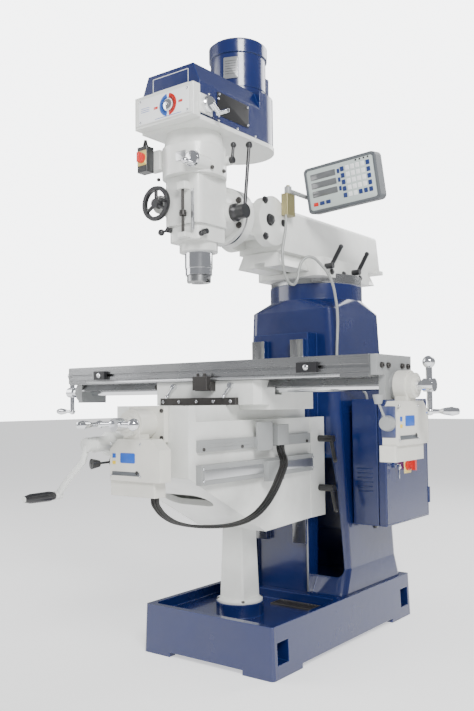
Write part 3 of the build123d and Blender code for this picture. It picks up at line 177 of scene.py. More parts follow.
class Effects:
    """The shader groups that every finish shares, each built once."""

    def __init__(self) -> None:
        """Builds the three groups."""
        self.edges = self._edges()
        self.grain = self._grain()
        self.grime = self._grime()

    @staticmethod
    def _group(name: str, inputs: Sequence[tuple[str, str]], outputs: Sequence[tuple[str, str]]) -> Nodes:
        """Makes an empty group with named sockets.

        Args:
            name: the group's name.
            inputs: names and kinds of the input sockets.
            outputs: names and kinds of the output sockets.

        Returns:
            The group's tree in a Nodes helper.
        """
        tree = bpy.data.node_groups.new(name, "ShaderNodeTree")
        for label, kind in inputs:
            tree.interface.new_socket(label, in_out="INPUT", socket_type=f"NodeSocket{kind}")
        for label, kind in outputs:
            tree.interface.new_socket(label, in_out="OUTPUT", socket_type=f"NodeSocket{kind}")
        return Nodes(tree)

    def _edges(self) -> bpy.types.NodeTree:
        """Edge mask for worn edges and painted edge highlights, and softened normal of sharp corners."""
        nodes = self._group("edge_scuff_and_highlight", (("Vector", "Vector"), ("Amount", "Float"), ("Radius", "Float")),
                            (("Mask", "Float"), ("Normal", "Vector")))
        given = nodes.add("NodeGroupInput")
        out = nodes.add("NodeGroupOutput")
        bevel = nodes.add("ShaderNodeBevel", samples=4)
        nodes.join(given.outputs["Radius"], bevel.inputs["Radius"])
        flat = nodes.add("ShaderNodeNewGeometry")
        dot = nodes.add("ShaderNodeVectorMath", operation="DOT_PRODUCT")
        nodes.join(bevel.outputs[0], dot.inputs[0])
        nodes.join(flat.outputs["Normal"], dot.inputs[1])
        bend = nodes.maths("SUBTRACT", 1.0, dot.outputs["Value"])
        broken = nodes.noise(given.outputs["Vector"], 45.0)
        scuff_and_highlight = nodes.maths("MULTIPLY", bend, nodes.maths("MULTIPLY", broken.outputs[0], 9.0))
        mask = nodes.add("ShaderNodeClamp")
        nodes.join(nodes.maths("MULTIPLY", scuff_and_highlight, given.outputs["Amount"]), mask.inputs[0])
        nodes.join(mask.outputs[0], out.inputs["Mask"])
        nodes.join(bevel.outputs[0], out.inputs["Normal"])
        return nodes.tree

    def _grain(self) -> bpy.types.NodeTree:
        """Fine and broad unevenness: a height for relief and a shade for colour."""
        nodes = self._group("surface_grain", (("Vector", "Vector"), ("Scale", "Float"), ("Stretch", "Vector")),
                            (("Height", "Float"), ("Shade", "Float")))
        given = nodes.add("NodeGroupInput")
        out = nodes.add("NodeGroupOutput")
        drawn = nodes.add("ShaderNodeVectorMath", operation="MULTIPLY")
        nodes.join(given.outputs["Vector"], drawn.inputs[0])
        nodes.join(given.outputs["Stretch"], drawn.inputs[1])
        fine = nodes.noise(drawn.outputs[0], 1.0, 4.0)
        nodes.join(given.outputs["Scale"], fine.inputs["Scale"])
        broad = nodes.noise(given.outputs["Vector"], 9.0, 2.0)
        height = nodes.maths("ADD", fine.outputs[0], nodes.maths("MULTIPLY", broad.outputs[0], 0.6))
        shade = nodes.maths("ADD", nodes.maths("MULTIPLY", fine.outputs[0], 0.35),
                            nodes.maths("MULTIPLY", broad.outputs[0], 0.65))
        nodes.join(height, out.inputs["Height"])
        nodes.join(shade, out.inputs["Shade"])
        return nodes.tree

    def _grime(self) -> bpy.types.NodeTree:
        """Oil and dust that gather in patches, more of it towards the floor."""
        nodes = self._group("workshop_grime", (("Vector", "Vector"), ("Amount", "Float")), (("Mask", "Float"),))
        given = nodes.add("NodeGroupInput")
        out = nodes.add("NodeGroupOutput")
        split = nodes.add("ShaderNodeSeparateXYZ")
        nodes.join(given.outputs["Vector"], split.inputs[0])
        low = nodes.add("ShaderNodeMapRange")
        for socket, value in (("From Min", 0.0), ("From Max", 1.6), ("To Min", 1.0), ("To Max", 0.45)):
            low.inputs[socket].default_value = value
        nodes.join(split.outputs["Z"], low.inputs["Value"])
        patch = nodes.noise(given.outputs["Vector"], 6.5, 5.0)
        ramp = nodes.add("ShaderNodeMapRange")
        for socket, value in (("From Min", 0.45), ("From Max", 0.75)):
            ramp.inputs[socket].default_value = value
        nodes.join(patch.outputs[0], ramp.inputs["Value"])
        mask = nodes.maths("MULTIPLY", nodes.maths("MULTIPLY", ramp.outputs[0], low.outputs[0]),
                           given.outputs["Amount"])
        nodes.join(mask, out.inputs["Mask"])
        return nodes.tree


class PaintShop:
    """Turns finishes into materials and keeps them by name."""

    GRIME_COLOUR: Colour = (0.09, 0.08, 0.065)

    def __init__(self) -> None:
        """Builds the shared effects and an empty shelf."""
        self.effects = Effects()
        self.shelf: dict[str, bpy.types.Material] = {}

    def _effect(self, nodes: Nodes, tree: bpy.types.NodeTree, vector: bpy.types.NodeSocket,
                **values: object) -> bpy.types.Node:
        """Places one shared group in a material.

        Args:
            nodes: the material's nodes.
            tree: the shared group.
            vector: the coordinates it reads.
            values: constant inputs of this placement.

        Returns:
            The group node.
        """
        node = nodes.add("ShaderNodeGroup", node_tree=tree)
        nodes.join(vector, node.inputs["Vector"])
        for key, value in values.items():
            node.inputs[key].default_value = value
        return node

    @staticmethod
    def _mix(nodes: Nodes, factor: bpy.types.NodeSocket, first: object, second: object) -> bpy.types.NodeSocket:
        """Mixes two colours, each a socket or a constant."""
        node = nodes.add("ShaderNodeMix", data_type="RGBA")
        nodes.join(factor, node.inputs["Factor"])
        for socket, value in ((node.inputs[6], first), (node.inputs[7], second)):
            if isinstance(value, tuple):
                socket.default_value = (*value, 1.0)
            else:
                nodes.join(value, socket)
        return node.outputs[2]

    def material(self, name: str) -> bpy.types.Material:
        """Returns the named finish's material, made on first use."""
        if name not in self.shelf:
            self.shelf[name] = self._make(name, TRIM.get(name) or FINISHES[name])
        return self.shelf[name]

    def _make(self, name: str, finish: Finish) -> bpy.types.Material:
        """Builds a material from a finish.

        Args:
            name: the material's name.
            finish: its values.

        Returns:
            The node material.
        """
        material = bpy.data.materials.new(name)
        material.use_nodes = True
        nodes = Nodes(material.node_tree)
        shader = material.node_tree.nodes["Principled BSDF"]
        place = nodes.add("ShaderNodeTexCoord").outputs["Object"]
        edges = self._effect(nodes, self.effects.edges, place, Amount=finish.edge, Radius=finish.rounding)
        grain = self._effect(nodes, self.effects.grain, place, Scale=finish.grain, Stretch=finish.stretch)
        grime = self._effect(nodes, self.effects.grime, place, Amount=finish.grime)
        dark = tuple(channel * (1.0 - finish.shade) for channel in finish.colour)
        light = tuple(min(1.0, channel * (1.0 + finish.shade)) for channel in finish.colour)
        body = self._mix(nodes, grain.outputs["Shade"], dark, light)
        # Sharp edges take the lighter edge colour: worn paint and painted edge highlights.
        scuff_and_highlight = self._mix(nodes, edges.outputs["Mask"], body, finish.scuff_and_highlight_colour)
        dusty = self._mix(nodes, grime.outputs["Mask"], scuff_and_highlight, self.GRIME_COLOUR)
        nodes.join(dusty, shader.inputs["Base Color"])
        rough = nodes.maths("ADD", nodes.maths("MULTIPLY", grain.outputs["Shade"], 0.14), finish.roughness - 0.07)
        nodes.join(nodes.maths("ADD", rough, nodes.maths("MULTIPLY", grime.outputs["Mask"], 0.5)),
                   shader.inputs["Roughness"])
        shader.inputs["Metallic"].default_value = finish.metallic
        shader.inputs["Coat Weight"].default_value = finish.coat
        shader.inputs["Coat Roughness"].default_value = 0.08
        bump = nodes.add("ShaderNodeBump")
        bump.inputs["Strength"].default_value = 0.7
        bump.inputs["Distance"].default_value = finish.relief
        nodes.join(grain.outputs["Height"], bump.inputs["Height"])
        nodes.join(edges.outputs["Normal"], bump.inputs["Normal"])
        nodes.join(bump.outputs[0], shader.inputs["Normal"])
        return material


# ---- modelling ----

class Face(Enum):
    """Which way a working plane looks: its normal and its across direction."""

    FRONT = ((0, -1, 0), (1, 0, 0))
    BACK = ((0, 1, 0), (-1, 0, 0))
    RIGHT = ((1, 0, 0), (0, 1, 0))
    LEFT = ((-1, 0, 0), (0, -1, 0))
    TOP = ((0, 0, 1), (1, 0, 0))


@dataclass(frozen=True)
class Spot:
    """A working plane; pieces are modelled flat on it and stand up along its normal."""

    origin: Vector
    normal: Vector
    across: Vector

    @classmethod
    def on(cls, face: Face, x: float, y: float, z: float) -> "Spot":
        """A plane with one of the main directions through a point in metres."""
        normal, across = face.value
        return cls(Vector((x, y, z)), Vector(normal), Vector(across))

    def matrix(self, u: float, v: float, turn: float = 0.0) -> Matrix:
        """The placement of a point (u, v) on the plane, turned about the normal by an angle in radians."""
        z = self.normal.normalized()
        x = self.across.normalized()
        y = z.cross(x)
        basis = Matrix((x, y, z)).transposed().to_4x4()
        basis.translation = self.origin + x * u + y * v
        return basis @ Matrix.Rotation(turn, 4, "Z")


class Bench:
    """Operator moves that shape every new piece, and the last steps that fit it to the frame."""

    def __init__(self, paint: PaintShop) -> None:
        """Keeps the paint shop that dresses the pieces."""
        self.paint = paint
        self.made = 0

    @staticmethod
    def _clear() -> None:
        """Deselects everything, in object mode."""
        if bpy.context.mode != "OBJECT":
            bpy.ops.object.mode_set(mode="OBJECT")
        bpy.ops.object.select_all(action="DESELECT")

    @staticmethod
    def _apply(piece: bpy.types.Object) -> None:
        """Moves the piece's placement into its mesh."""
        Bench._clear()
        piece.select_set(True)
        bpy.context.view_layer.objects.active = piece
        bpy.ops.object.transform_apply(location=True, rotation=True, scale=True)

    @staticmethod
    def _bevel(piece: bpy.types.Object, wanted: Callable[[Vector, Vector], bool], offset: float,
               segments: int) -> None:
        """Bevels the edges whose two ends pass a test.

        Args:
            piece: the mesh to shape.
            wanted: the test of an edge's two end points.
            offset: the bevel's width in metres.
            segments: its number of steps.
        """
        mesh = piece.data
        bpy.context.tool_settings.mesh_select_mode = (False, True, False)
        for vertex in mesh.vertices:
            vertex.select = False
        for polygon in mesh.polygons:
            polygon.select = False
        for edge in mesh.edges:
            edge.select = wanted(*(mesh.vertices[index].co for index in edge.vertices))
        bpy.ops.object.mode_set(mode="EDIT")
        bpy.ops.mesh.bevel(offset=offset, segments=segments, affect="EDGES")
        bpy.ops.object.mode_set(mode="OBJECT")

    def plate(self, spot: Spot, u: float, v: float, size: tuple[float, float, float], corner: float = 0.0,
              rim: float = 0.0004, turn: float = 0.0, lift: float = 0.0) -> bpy.types.Object:
        """A plate with rounded corners and a softened rim.

        Args:
            spot: the working plane.
            u: its place across the plane.
            v: its place up the plane.
            size: width, height and thickness.
            corner: radius of the upright corners.
            rim: width of the rim's bevel.
            turn: its turn about the normal.
            lift: height of its underside over the plane.

        Returns:
            The piece, with its place in its mesh.
        """
        self._clear()
        thick = size[2]
        bpy.ops.mesh.primitive_cube_add(size=1.0, location=(0.0, 0.0, lift + thick / 2))
        piece = bpy.context.object
        piece.scale = size
        self._apply(piece)
        if corner:
            self._bevel(piece, lambda a, b: abs(a.z - b.z) > thick / 2, corner, 4)
        top = lift + thick - 1e-6
        self._bevel(piece, lambda a, b: a.z > top and b.z > top, min(rim, thick / 3), 2)
        piece.matrix_world = spot.matrix(u, v, turn)
        self._apply(piece)
        return piece

    def turned(self, spot: Spot, u: float, v: float, outline: Outline, sides: int = 28,
               turn: float = 0.0) -> bpy.types.Object:
        """A turned piece, drawn up ring by ring from a disc.

        Args:
            spot: the working plane.
            u: its place across the plane.
            v: its place up the plane.
            outline: radius and height of each ring.
            sides: how many sides the rings have.
            turn: its turn about the normal.

        Returns:
            The piece, with its place in its mesh.
        """
        self._clear()
        first, start = outline[0]
        bpy.ops.mesh.primitive_circle_add(vertices=sides, radius=first, fill_type="NGON", location=(0, 0, start))
        piece = bpy.context.object
        bpy.context.tool_settings.mesh_select_mode = (False, False, True)
        bpy.ops.object.mode_set(mode="EDIT")
        for (radius, height), (wider, higher) in zip(outline, outline[1:]):
            bpy.ops.mesh.extrude_region_move(TRANSFORM_OT_translate={"value": (0, 0, higher - height)})
            factor = wider / radius
            bpy.ops.transform.resize(value=(factor, factor, 1), center_override=(0, 0, higher))
        bpy.ops.mesh.select_all(action="SELECT")
        bpy.ops.mesh.normals_make_consistent(inside=False)
        bpy.ops.object.mode_set(mode="OBJECT")
        piece.matrix_world = spot.matrix(u, v, turn) @ piece.matrix_world
        self._apply(piece)
        return piece

    def hex_bolt(self, spot: Spot, u: float, v: float, radius: float, turn: float = 0.3) -> list[bpy.types.Object]:
        """A hexagon head on its washer.

        Returns:
            The washer and the head.
        """
        rim = radius * 1.35
        washer = self.turned(spot, u, v, ((rim, -0.001), (rim, 0.0018), (radius * 1.25, 0.0024)))
        high = radius * 0.75
        head = self.turned(spot, u, v, ((radius * 1.1, 0.0022), (radius * 1.1, high), (radius * 0.9, high * 1.15)),
                           6, turn)
        return [washer, head]

    def cap_screw(self, spot: Spot, u: float, v: float, radius: float, height: float) -> bpy.types.Object:
        """A socket-head screw with its hollow."""
        outline = ((radius, -0.001), (radius, height * 0.85), (radius * 0.88, height), (radius * 0.5, height),
                   (radius * 0.48, height * 0.4))
        return self.turned(spot, u, v, outline, 20)

    def fit(self, name: str, parts: Sequence[bpy.types.Object], body: str, finish: str,
            smooth: float = 35.0) -> bpy.types.Object:
        """Joins parts to one named piece, dresses it and lets it ride.

        Args:
            name: the finished piece's name.
            parts: the meshes it is made of.
            body: the CAD body it moves with.
            finish: the name of its finish.
            smooth: the angle under which its faces shade smoothly.

        Returns:
            The finished piece.
        """
        self._clear()
        for part in parts:
            part.select_set(True)
        piece = parts[0]
        bpy.context.view_layer.objects.active = piece
        if len(parts) > 1:
            bpy.ops.object.join()
        piece.name = name
        piece.data.name = name
        bpy.ops.object.shade_smooth_by_angle(angle=math.radians(smooth))
        piece.data.materials.clear()
        piece.data.materials.append(self.paint.material(finish))
        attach(piece, body)
        self.made += 1
        LOG.info("%s rides on %s in %s", name, body, finish)
        return piece


@dataclass
class Trim:
    """A sub-assembly's trim: what it is fitted to and the bench that makes it."""

    bench: Bench
    body: str = "machine"

    def fit(self, name: str, parts: Sequence[bpy.types.Object], finish: str) -> bpy.types.Object:
        """Fits parts to this sub-assembly's body."""
        return self.bench.fit(name, parts, self.body, finish)


# ---- head ----

@dataclass
class DialBoxTrim(Trim):
    """Speed dial, its screws and its marks on the dial box."""

    body: str = "head"
    dial_r: float = 0.036
    dial_u: float = 0.020

    def build(self) -> None:
        """Models the face plate, dial rings, marks, lines and screws."""
        low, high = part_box("dial_box")
        spot = Spot.on(Face.FRONT, (low.x + high.x) / 2, low.y, (low.z + high.z) / 2)
        bench, u = self.bench, self.dial_u
        self.fit("dial_face_plate", [bench.plate(spot, 0, 0, (0.214, 0.082, 0.0010), 0.004)], "white_print")
        self.fit("dial_ring_blue", self._arc(spot, u, 100, 260), "blue_print")
        self.fit("dial_ring_red", self._arc(spot, u, -80, 80), "red_plastic")
        hub = ((0.017, 0.001), (0.017, 0.004), (0.014, 0.0052), (0.005, 0.0052), (0.004, 0.0040))
        self.fit("dial_hub", [bench.turned(spot, u, 0, hub)], "chrome")
        marks = [bench.plate(spot, u + side * 0.052, 0, (0.017, 0.008, 0.0006), 0.0015, lift=0.001)
                 for side in (-1, 1)]
        self.fit("dial_arrows", marks, "red_plastic")
        lines = [bench.plate(spot, -0.078, v, (0.036, 0.0016, 0.0004), lift=0.001) for v in (0.010, 0.004, -0.002)]
        lines.append(bench.plate(spot, u, -0.036, (0.11, 0.0018, 0.0004), lift=0.001))
        self.fit("dial_lines", lines, "blue_print")
        screws = [bench.cap_screw(spot, su * 0.100, sv * 0.034, 0.0042, 0.0028) for su in (-1, 1) for sv in (-1, 1)]
        self.fit("dial_screws", screws, "chrome")
        crank_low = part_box("speed_crank")[0]
        face = Spot.on(Face.RIGHT, crank_low.x, (low.y + high.y) / 2, (low.z + high.z) / 2)
        corners = [bench.cap_screw(face, u2, v2, 0.004, 0.003) for u2, v2 in
                   ((0.025, 0.028), (0.025, -0.028), (0.074, 0.028), (0.074, -0.028))]
        self.fit("crank_boss_screws", corners, "chrome")

    def _arc(self, spot: Spot, u: float, start: float, end: float) -> list[bpy.types.Object]:
        """A ring segment of small overlapping plates between two angles in degrees."""
        steps = 16
        middle = self.dial_r * 0.78
        parts = []
        for index in range(steps):
            angle = math.radians(start + (end - start) * (index + 0.5) / steps)
            width = 2 * middle * math.radians(abs(end - start) / steps) * 0.72
            parts.append(self.bench.plate(spot, u + middle * math.cos(angle), middle * math.sin(angle),
                                          (self.dial_r * 0.42, width, 0.0010), 0.0, 0.0002, angle, 0.001))
        return parts


@dataclass
class HeadTrim(Trim):
    """Belt cover trim, motor trim, clamp bolts and scales on the head."""

    body: str = "head"

    def build(self) -> None:
        """Models all of the head's small hardware."""
        self._cover()
        self._motor()
        self._housing()
        self._case()
        self._switch()

    def _cover(self) -> None:
        """Pinstripe frame in front, switch plate with screws on the right, rim screws below on both sides."""
        low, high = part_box("speed_cover")
        bench = self.bench
        front = Spot.on(Face.FRONT, 0, low.y, high.z - 0.036)
        wide, tall, line = 0.150, 0.044, 0.0022
        stripes = [bench.plate(front, 0, side * tall / 2, (wide, line, 0.0005), 0) for side in (-1, 1)]
        stripes += [bench.plate(front, side * wide / 2, 0, (line, tall + line, 0.0005), 0) for side in (-1, 1)]
        stripes.append(bench.plate(front, 0, -tall / 2 - 0.008, (0.19, 0.0016, 0.0005), 0))
        self.fit("cover_pinstripe", stripes, "white_print")
        right = Spot.on(Face.RIGHT, high.x, (low.y + high.y) / 2 - 0.072, low.z + 0.062)
        self.fit("cover_side_plate", [bench.plate(right, 0, 0, (0.168, 0.076, 0.0025), 0.004, 0.0008)],
                 "matt_black")
        screws = [bench.cap_screw(right, u, v, 0.0044, 0.0055) for u in (-0.076, 0.076) for v in (-0.030, 0.030)]
        self.fit("cover_plate_screws", screws, "chrome")
        rims = []
        for face, x in ((Face.RIGHT, high.x), (Face.LEFT, low.x)):
            side = Spot.on(face, x, (low.y + high.y) / 2, low.z + 0.006)
            rims += [bench.cap_screw(side, u, 0, 0.0045, 0.003) for u in (-0.15, -0.05, 0.05)]
        self.fit("cover_rim_screws", rims, "chrome")

    def _motor(self) -> None:
        """Bolt ring, cooling slots, name-free rating plate and flange rings of the motor."""
        low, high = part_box("motor")
        bench = self.bench
        x, y = 0.0, low.y + (high.x - low.x) / 2
        radius = (high.x - low.x) / 2
        base = Spot.on(Face.TOP, x, y, low.z)
        bolts: list[bpy.types.Object] = []
        for index in range(4):
            angle = math.radians(45 + 90 * index)
            pitch = radius + 0.004
            bolts += bench.hex_bolt(base, pitch * math.cos(angle), pitch * math.sin(angle), 0.006)
        self.fit("motor_foot_bolts", bolts, "chrome")
        angle = math.radians(-68)
        normal = Vector((math.cos(angle), math.sin(angle), 0))
        plate_at = Vector((x, y, 0)) + normal * (radius - 0.0062)
        spot = Spot(Vector((plate_at.x, plate_at.y, low.z + 0.088)), normal, Vector((-normal.y, normal.x, 0)))
        self.fit("motor_rating_plate", [bench.plate(spot, 0, 0, (0.050, 0.076, 0.0035), 0.003, 0.0006)],
                 "aluminium_part")
        rows = [bench.plate(spot, 0, 0.024 - 0.009 * row, (0.038, 0.0016, 0.0004), lift=0.0035) for row in range(6)]
        self.fit("motor_plate_rules", rows, "tick_black")
        top = Spot.on(Face.TOP, x, y, high.z - 0.0045)
        slots = []
        for ring, count in ((0.034, 10), (0.056, 16), (0.076, 22)):
            for index in range(count):
                turn = 2 * math.pi * index / count
                slots.append(bench.plate(top, ring * math.cos(turn), ring * math.sin(turn), (0.014, 0.0042, 0.0044),
                                         0.0015, 0.0003, turn))
        self.fit("motor_vent_slots", slots, "tick_black")
        seams = [bench.turned(Spot.on(Face.TOP, x, y, z), 0, 0,
                              ((0.0985, 0), (0.1003, 0.0006), (0.1003, 0.0034), (0.0985, 0.004)), 64)
                 for z in (low.z + 0.003, low.z + 0.022)]
        self.fit("motor_flange_rings", seams, "blue_paint")

    def _housing(self) -> None:
        """Flange nuts, tilt scale, depth scale, feed boss screws and feed gear cover."""
        low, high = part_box("head_housing")
        bench = self.bench
        seam = high.y
        pivot_z = 0.5 * sum(corner.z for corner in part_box("ram_adapter"))
        face = Spot.on(Face.FRONT, 0, seam - 0.026, pivot_z)
        nuts: list[bpy.types.Object] = []
        for degrees in (28, 152, 208, 332):
            angle = math.radians(degrees)
            nuts += bench.hex_bolt(face, 0.090 * math.cos(angle), 0.090 * math.sin(angle), 0.0085)
        self.fit("head_flange_nuts", nuts, "dark_steel")
        ring = Spot.on(Face.FRONT, 0, seam - 0.001, pivot_z)
        band = bench.turned(ring, 0, 0, ((0.0995, 0), (0.1004, 0.0004), (0.1004, 0.0085), (0.0995, 0.009)), 96)
        self.fit("head_tilt_ring", [band], "ground_steel")
        ticks = []
        for index in range(-18, 19):
            angle = math.radians(90 + index * 5)
            normal = Vector((math.cos(angle), 0, math.sin(angle)))
            spot = Spot(Vector((0, seam - 0.0055, pivot_z)) + normal * 0.1003, normal, Vector((0, -1, 0)))
            long = 0.0075 if index % 2 == 0 else 0.0045
            ticks.append(bench.plate(spot, (0.0075 - long) / 2 - 0.0003, 0, (long, 0.0007, 0.0004), 0, 0.0001))
        self.fit("head_tilt_marks", ticks, "tick_black")
        scale = Spot.on(Face.FRONT, 0.052, low.y + 0.0263, 1.462)
        self.fit("depth_scale", [bench.plate(scale, 0, 0, (0.013, 0.132, 0.002), 0.001)], "aluminium_part")
        rungs = [bench.plate(scale, 0.002 if i % 5 else 0.0, -0.060 + 0.005 * i,
                             (0.004 if i % 5 else 0.008, 0.0006, 0.0003),
                             lift=0.002, rim=0.0001) for i in range(25)]
        self.fit("depth_scale_marks", rungs, "tick_black")
        boss = Spot.on(Face.RIGHT, 0.094, -0.424, 1.473)
        caps = [bench.cap_screw(boss, 0.0275 * math.cos(a), 0.0275 * math.sin(a), 0.0035, 0.003)
                for a in (0.8, 2.37, 3.93, 5.5)]
        self.fit("feed_boss_screws", caps, "dark_steel")
        left = Spot.on(Face.LEFT, low.x, -0.500, 1.500)
        cover = bench.turned(left, 0, 0, ((0.034, -0.001), (0.034, 0.008), (0.031, 0.010), (0.012, 0.010)), 40)
        self.fit("feed_gear_cover", [cover], "white_paint")

    def _case(self) -> None:
        """Screws on the gear case's sides and its range plate."""
        low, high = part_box("gear_case")
        bench = self.bench
        bolts = []
        for x, y, face in ((high.x, -0.52, Face.RIGHT), (low.x, -0.52, Face.LEFT)):
            spot = Spot.on(face, x - 0.0032 if face is Face.RIGHT else x + 0.0032, y, low.z + 0.016)
            bolts += [bench.cap_screw(spot, u, 0, 0.006, 0.006) for u in (-0.03, 0.03)]
        self.fit("gear_case_screws", bolts, "dark_steel")
        plate = Spot.on(Face.FRONT, 0.030, -0.6156, 1.632)
        tag = [bench.plate(plate, 0, 0, (0.044, 0.030, 0.0014), 0.003, 0.0004)]
        self.fit("range_plate", tag, "aluminium_part")

    def _switch(self) -> None:
        """Yellow front and cable gland of the head switch."""
        low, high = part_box("switch_box")
        bench = self.bench
        spot = Spot.on(Face.FRONT, (low.x + high.x) / 2, low.y, (low.z + high.z) / 2)
        plate = bench.plate(spot, 0, 0.004, (0.040, 0.050, 0.0002), 0.003, 0.0001)
        self.fit("head_switch_plate", [plate], "yellow_plate")
        gland = bench.turned(Spot.on(Face.TOP, (low.x + high.x) / 2, (low.y + high.y) / 2, high.z), 0, 0,
                             ((0.009, -0.001), (0.009, 0.010), (0.007, 0.014), (0.005, 0.026)), 20)
        self.fit("head_switch_gland", [gland], "black_plastic")


# ---- ram, turret and readout ----

@dataclass
class RamTrim(Trim):
    """Cheek bolts and faces, end cover and lifting boss of the ram."""

    body: str = "ram"
    bolts: tuple[tuple[float, float, float], ...] = ((-0.226, 1.484, 0.016), (-0.254, 1.549, 0.010),
                                                     (-0.142, 1.486, 0.010), (-0.253, 1.422, 0.010))

    def build(self) -> None:
        """Models the ram's hardware on both sides."""
        bench = self.bench
        bolts: list[bpy.types.Object] = []
        rings = []
        for face, side in ((Face.RIGHT, 1), (Face.LEFT, -1)):
            for y, z, radius in self.bolts:
                spot = Spot.on(face, side * 0.100, y, z)
                bolts += bench.hex_bolt(spot, 0, 0, radius)
            centre = Spot.on(face, side * 0.0995, -0.200, 1.484)
            rings.append(bench.turned(centre, 0, 0, ((0.0868, 0), (0.0868, 0.0012), (0.0855, 0.0016)), 80))
        self.fit("ram_cheek_bolts", bolts, "black_plastic")
        self.fit("ram_cheek_faces", rings, "white_paint")
        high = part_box("ram")[1]
        back = Spot.on(Face.BACK, 0, high.y - 0.037, 1.46)
        cover = bench.plate(back, 0, 0.012, (0.13, 0.10, 0.003), 0.008, 0.001)
        self.fit("ram_end_cover", [cover], "white_paint")
        top = Spot.on(Face.TOP, 0, 0.1, 1.546)
        eye = bench.turned(top, 0, 0, ((0.020, -0.001), (0.020, 0.006), (0.012, 0.010), (0.012, 0.018)), 32)
        self.fit("ram_lift_boss", [eye], "dark_steel")


@dataclass
class TurretTrim(Trim):
    """Degree ring, its marks and the side bolts of the turret."""

    body: str = "turret"

    def build(self) -> None:
        """Models the silver degree ring with its marks, and the side bolts."""
        bench = self.bench
        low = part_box("turret")[0]
        centre_y = 0.239
        radius = 0.179
        ring = Spot.on(Face.TOP, 0, centre_y, low.z + 0.001)
        band = bench.turned(ring, 0, 0, ((radius, 0), (radius + 0.0012, 0.0006), (radius + 0.0012, 0.0354),
                                         (radius, 0.036)), 128)
        self.fit("turret_degree_ring", [band], "ground_steel")
        ticks = []
        for index in range(72):
            angle = math.radians(index * 5)
            normal = Vector((math.cos(angle), math.sin(angle), 0))
            edge = Vector((0, centre_y, low.z + 0.0180)) + normal * (radius + 0.0011)
            spot = Spot(edge, normal, Vector((0, 0, 1)))
            long = 0.008 if index % 2 == 0 else 0.005
            ticks.append(bench.plate(spot, -long / 2 + 0.003, 0, (long, 0.0010, 0.0004), 0, 0.0001))
        self.fit("turret_degree_marks", ticks, "tick_black")
        nuts: list[bpy.types.Object] = []
        for side, face in ((1, Face.RIGHT), (-1, Face.LEFT)):
            for y in (0.110, 0.200, 0.330):
                nuts += bench.hex_bolt(Spot.on(face, side * 0.150, y, 1.337), 0, 0, 0.009)
        self.fit("turret_side_bolts", nuts, "black_plastic")


@dataclass
class ReadoutTrim(Trim):
    """Display face of the digital readout: windows, keys and lamps."""

    body: str = "dro_display"
    lean: float = math.radians(9.0)
    roll: float = math.radians(3.2)
    thick: float = 0.044

    def spot(self, depth: float) -> Spot:
        """The display's working plane at a depth in front of its middle."""
        normal = Vector((0, -math.cos(self.lean), -math.sin(self.lean)))
        across = Vector((math.cos(self.roll), 0, math.sin(self.roll)))
        return Spot(Vector((0.276, -0.007, 1.627)) + normal * depth, normal, across)

    def build(self) -> None:
        """Models the face sheet, three windows, keys, lamps and the rear grille."""
        bench = self.bench
        face = self.spot(self.thick / 2)
        self.fit("readout_face", [bench.plate(face, 0, 0, (0.272, 0.146, 0.0012), 0.010)], "pale_face")
        rim = self.thick / 2 - 0.0002
        frame_spot = self.spot(rim)
        bars = [bench.plate(frame_spot, 0, side * 0.0775, (0.276, 0.008, 0.003), 0.002, 0.001) for side in (-1, 1)]
        bars += [bench.plate(frame_spot, side * 0.1405, 0, (0.010, 0.150, 0.003), 0.002, 0.001) for side in (-1, 1)]
        self.fit("readout_frame", bars, "panel_grey")
        windows = []
        for row in range(3):
            v = 0.046 - 0.031 * row
            windows.append(bench.plate(face, -0.068, v, (0.104, 0.022, 0.0010), 0.002, lift=0.001))
        self.fit("readout_windows", windows, "screen")
        lamp = ((0.0035, 0.001), (0.0035, 0.0022), (0.002, 0.003))
        lamps = [bench.turned(face, 0.070 + 0.016 * i, 0.068, lamp, 16)
                 for i in range(4)]
        self.fit("readout_lamps", lamps, "tick_black")
        pale, navy = [], []
        for row in range(5):
            for column in range(6):
                key = bench.plate(face, 0.012 + 0.0205 * column, 0.050 - 0.0235 * row, (0.0150, 0.0165, 0.0018),
                                  0.002, 0.0006, lift=0.001)
                (navy if column in (0, 5) or (row == 4 and column > 2) else pale).append(key)
        for row in range(3):
            navy.append(bench.plate(face, -0.004, 0.046 - 0.031 * row, (0.010, 0.016, 0.0018), 0.002, lift=0.001))
        self.fit("readout_keys_pale", pale, "white_print")
        self.fit("readout_keys_navy", navy, "navy_panel")
        low_row = [bench.plate(face, -0.112 + 0.026 * i, -0.052, (0.019, 0.013, 0.0018), 0.002, lift=0.001)
                   for i in range(3)]
        self.fit("readout_keys_red", low_row[:1], "red_plastic")
        self.fit("readout_keys_low", low_row[1:], "navy_panel")
        back = Spot(self.spot(-self.thick / 2).origin, -self.spot(0).normal, -self.spot(0).across)
        vents = [bench.plate(back, 0.06, -0.03 + 0.010 * i, (0.080, 0.004, 0.0008), 0.0015) for i in range(7)]
        self.fit("readout_vents", vents, "tick_black")
        sockets = [bench.turned(back, -0.105 + 0.035 * i, -0.052, ((0.011, -0.001), (0.011, 0.007), (0.009, 0.009),
                                                                   (0.006, 0.009), (0.006, 0.004)), 24)
                   for i in range(4)]
        self.fit("readout_sockets", sockets, "chrome")


# ---- feeds, table, saddle ----

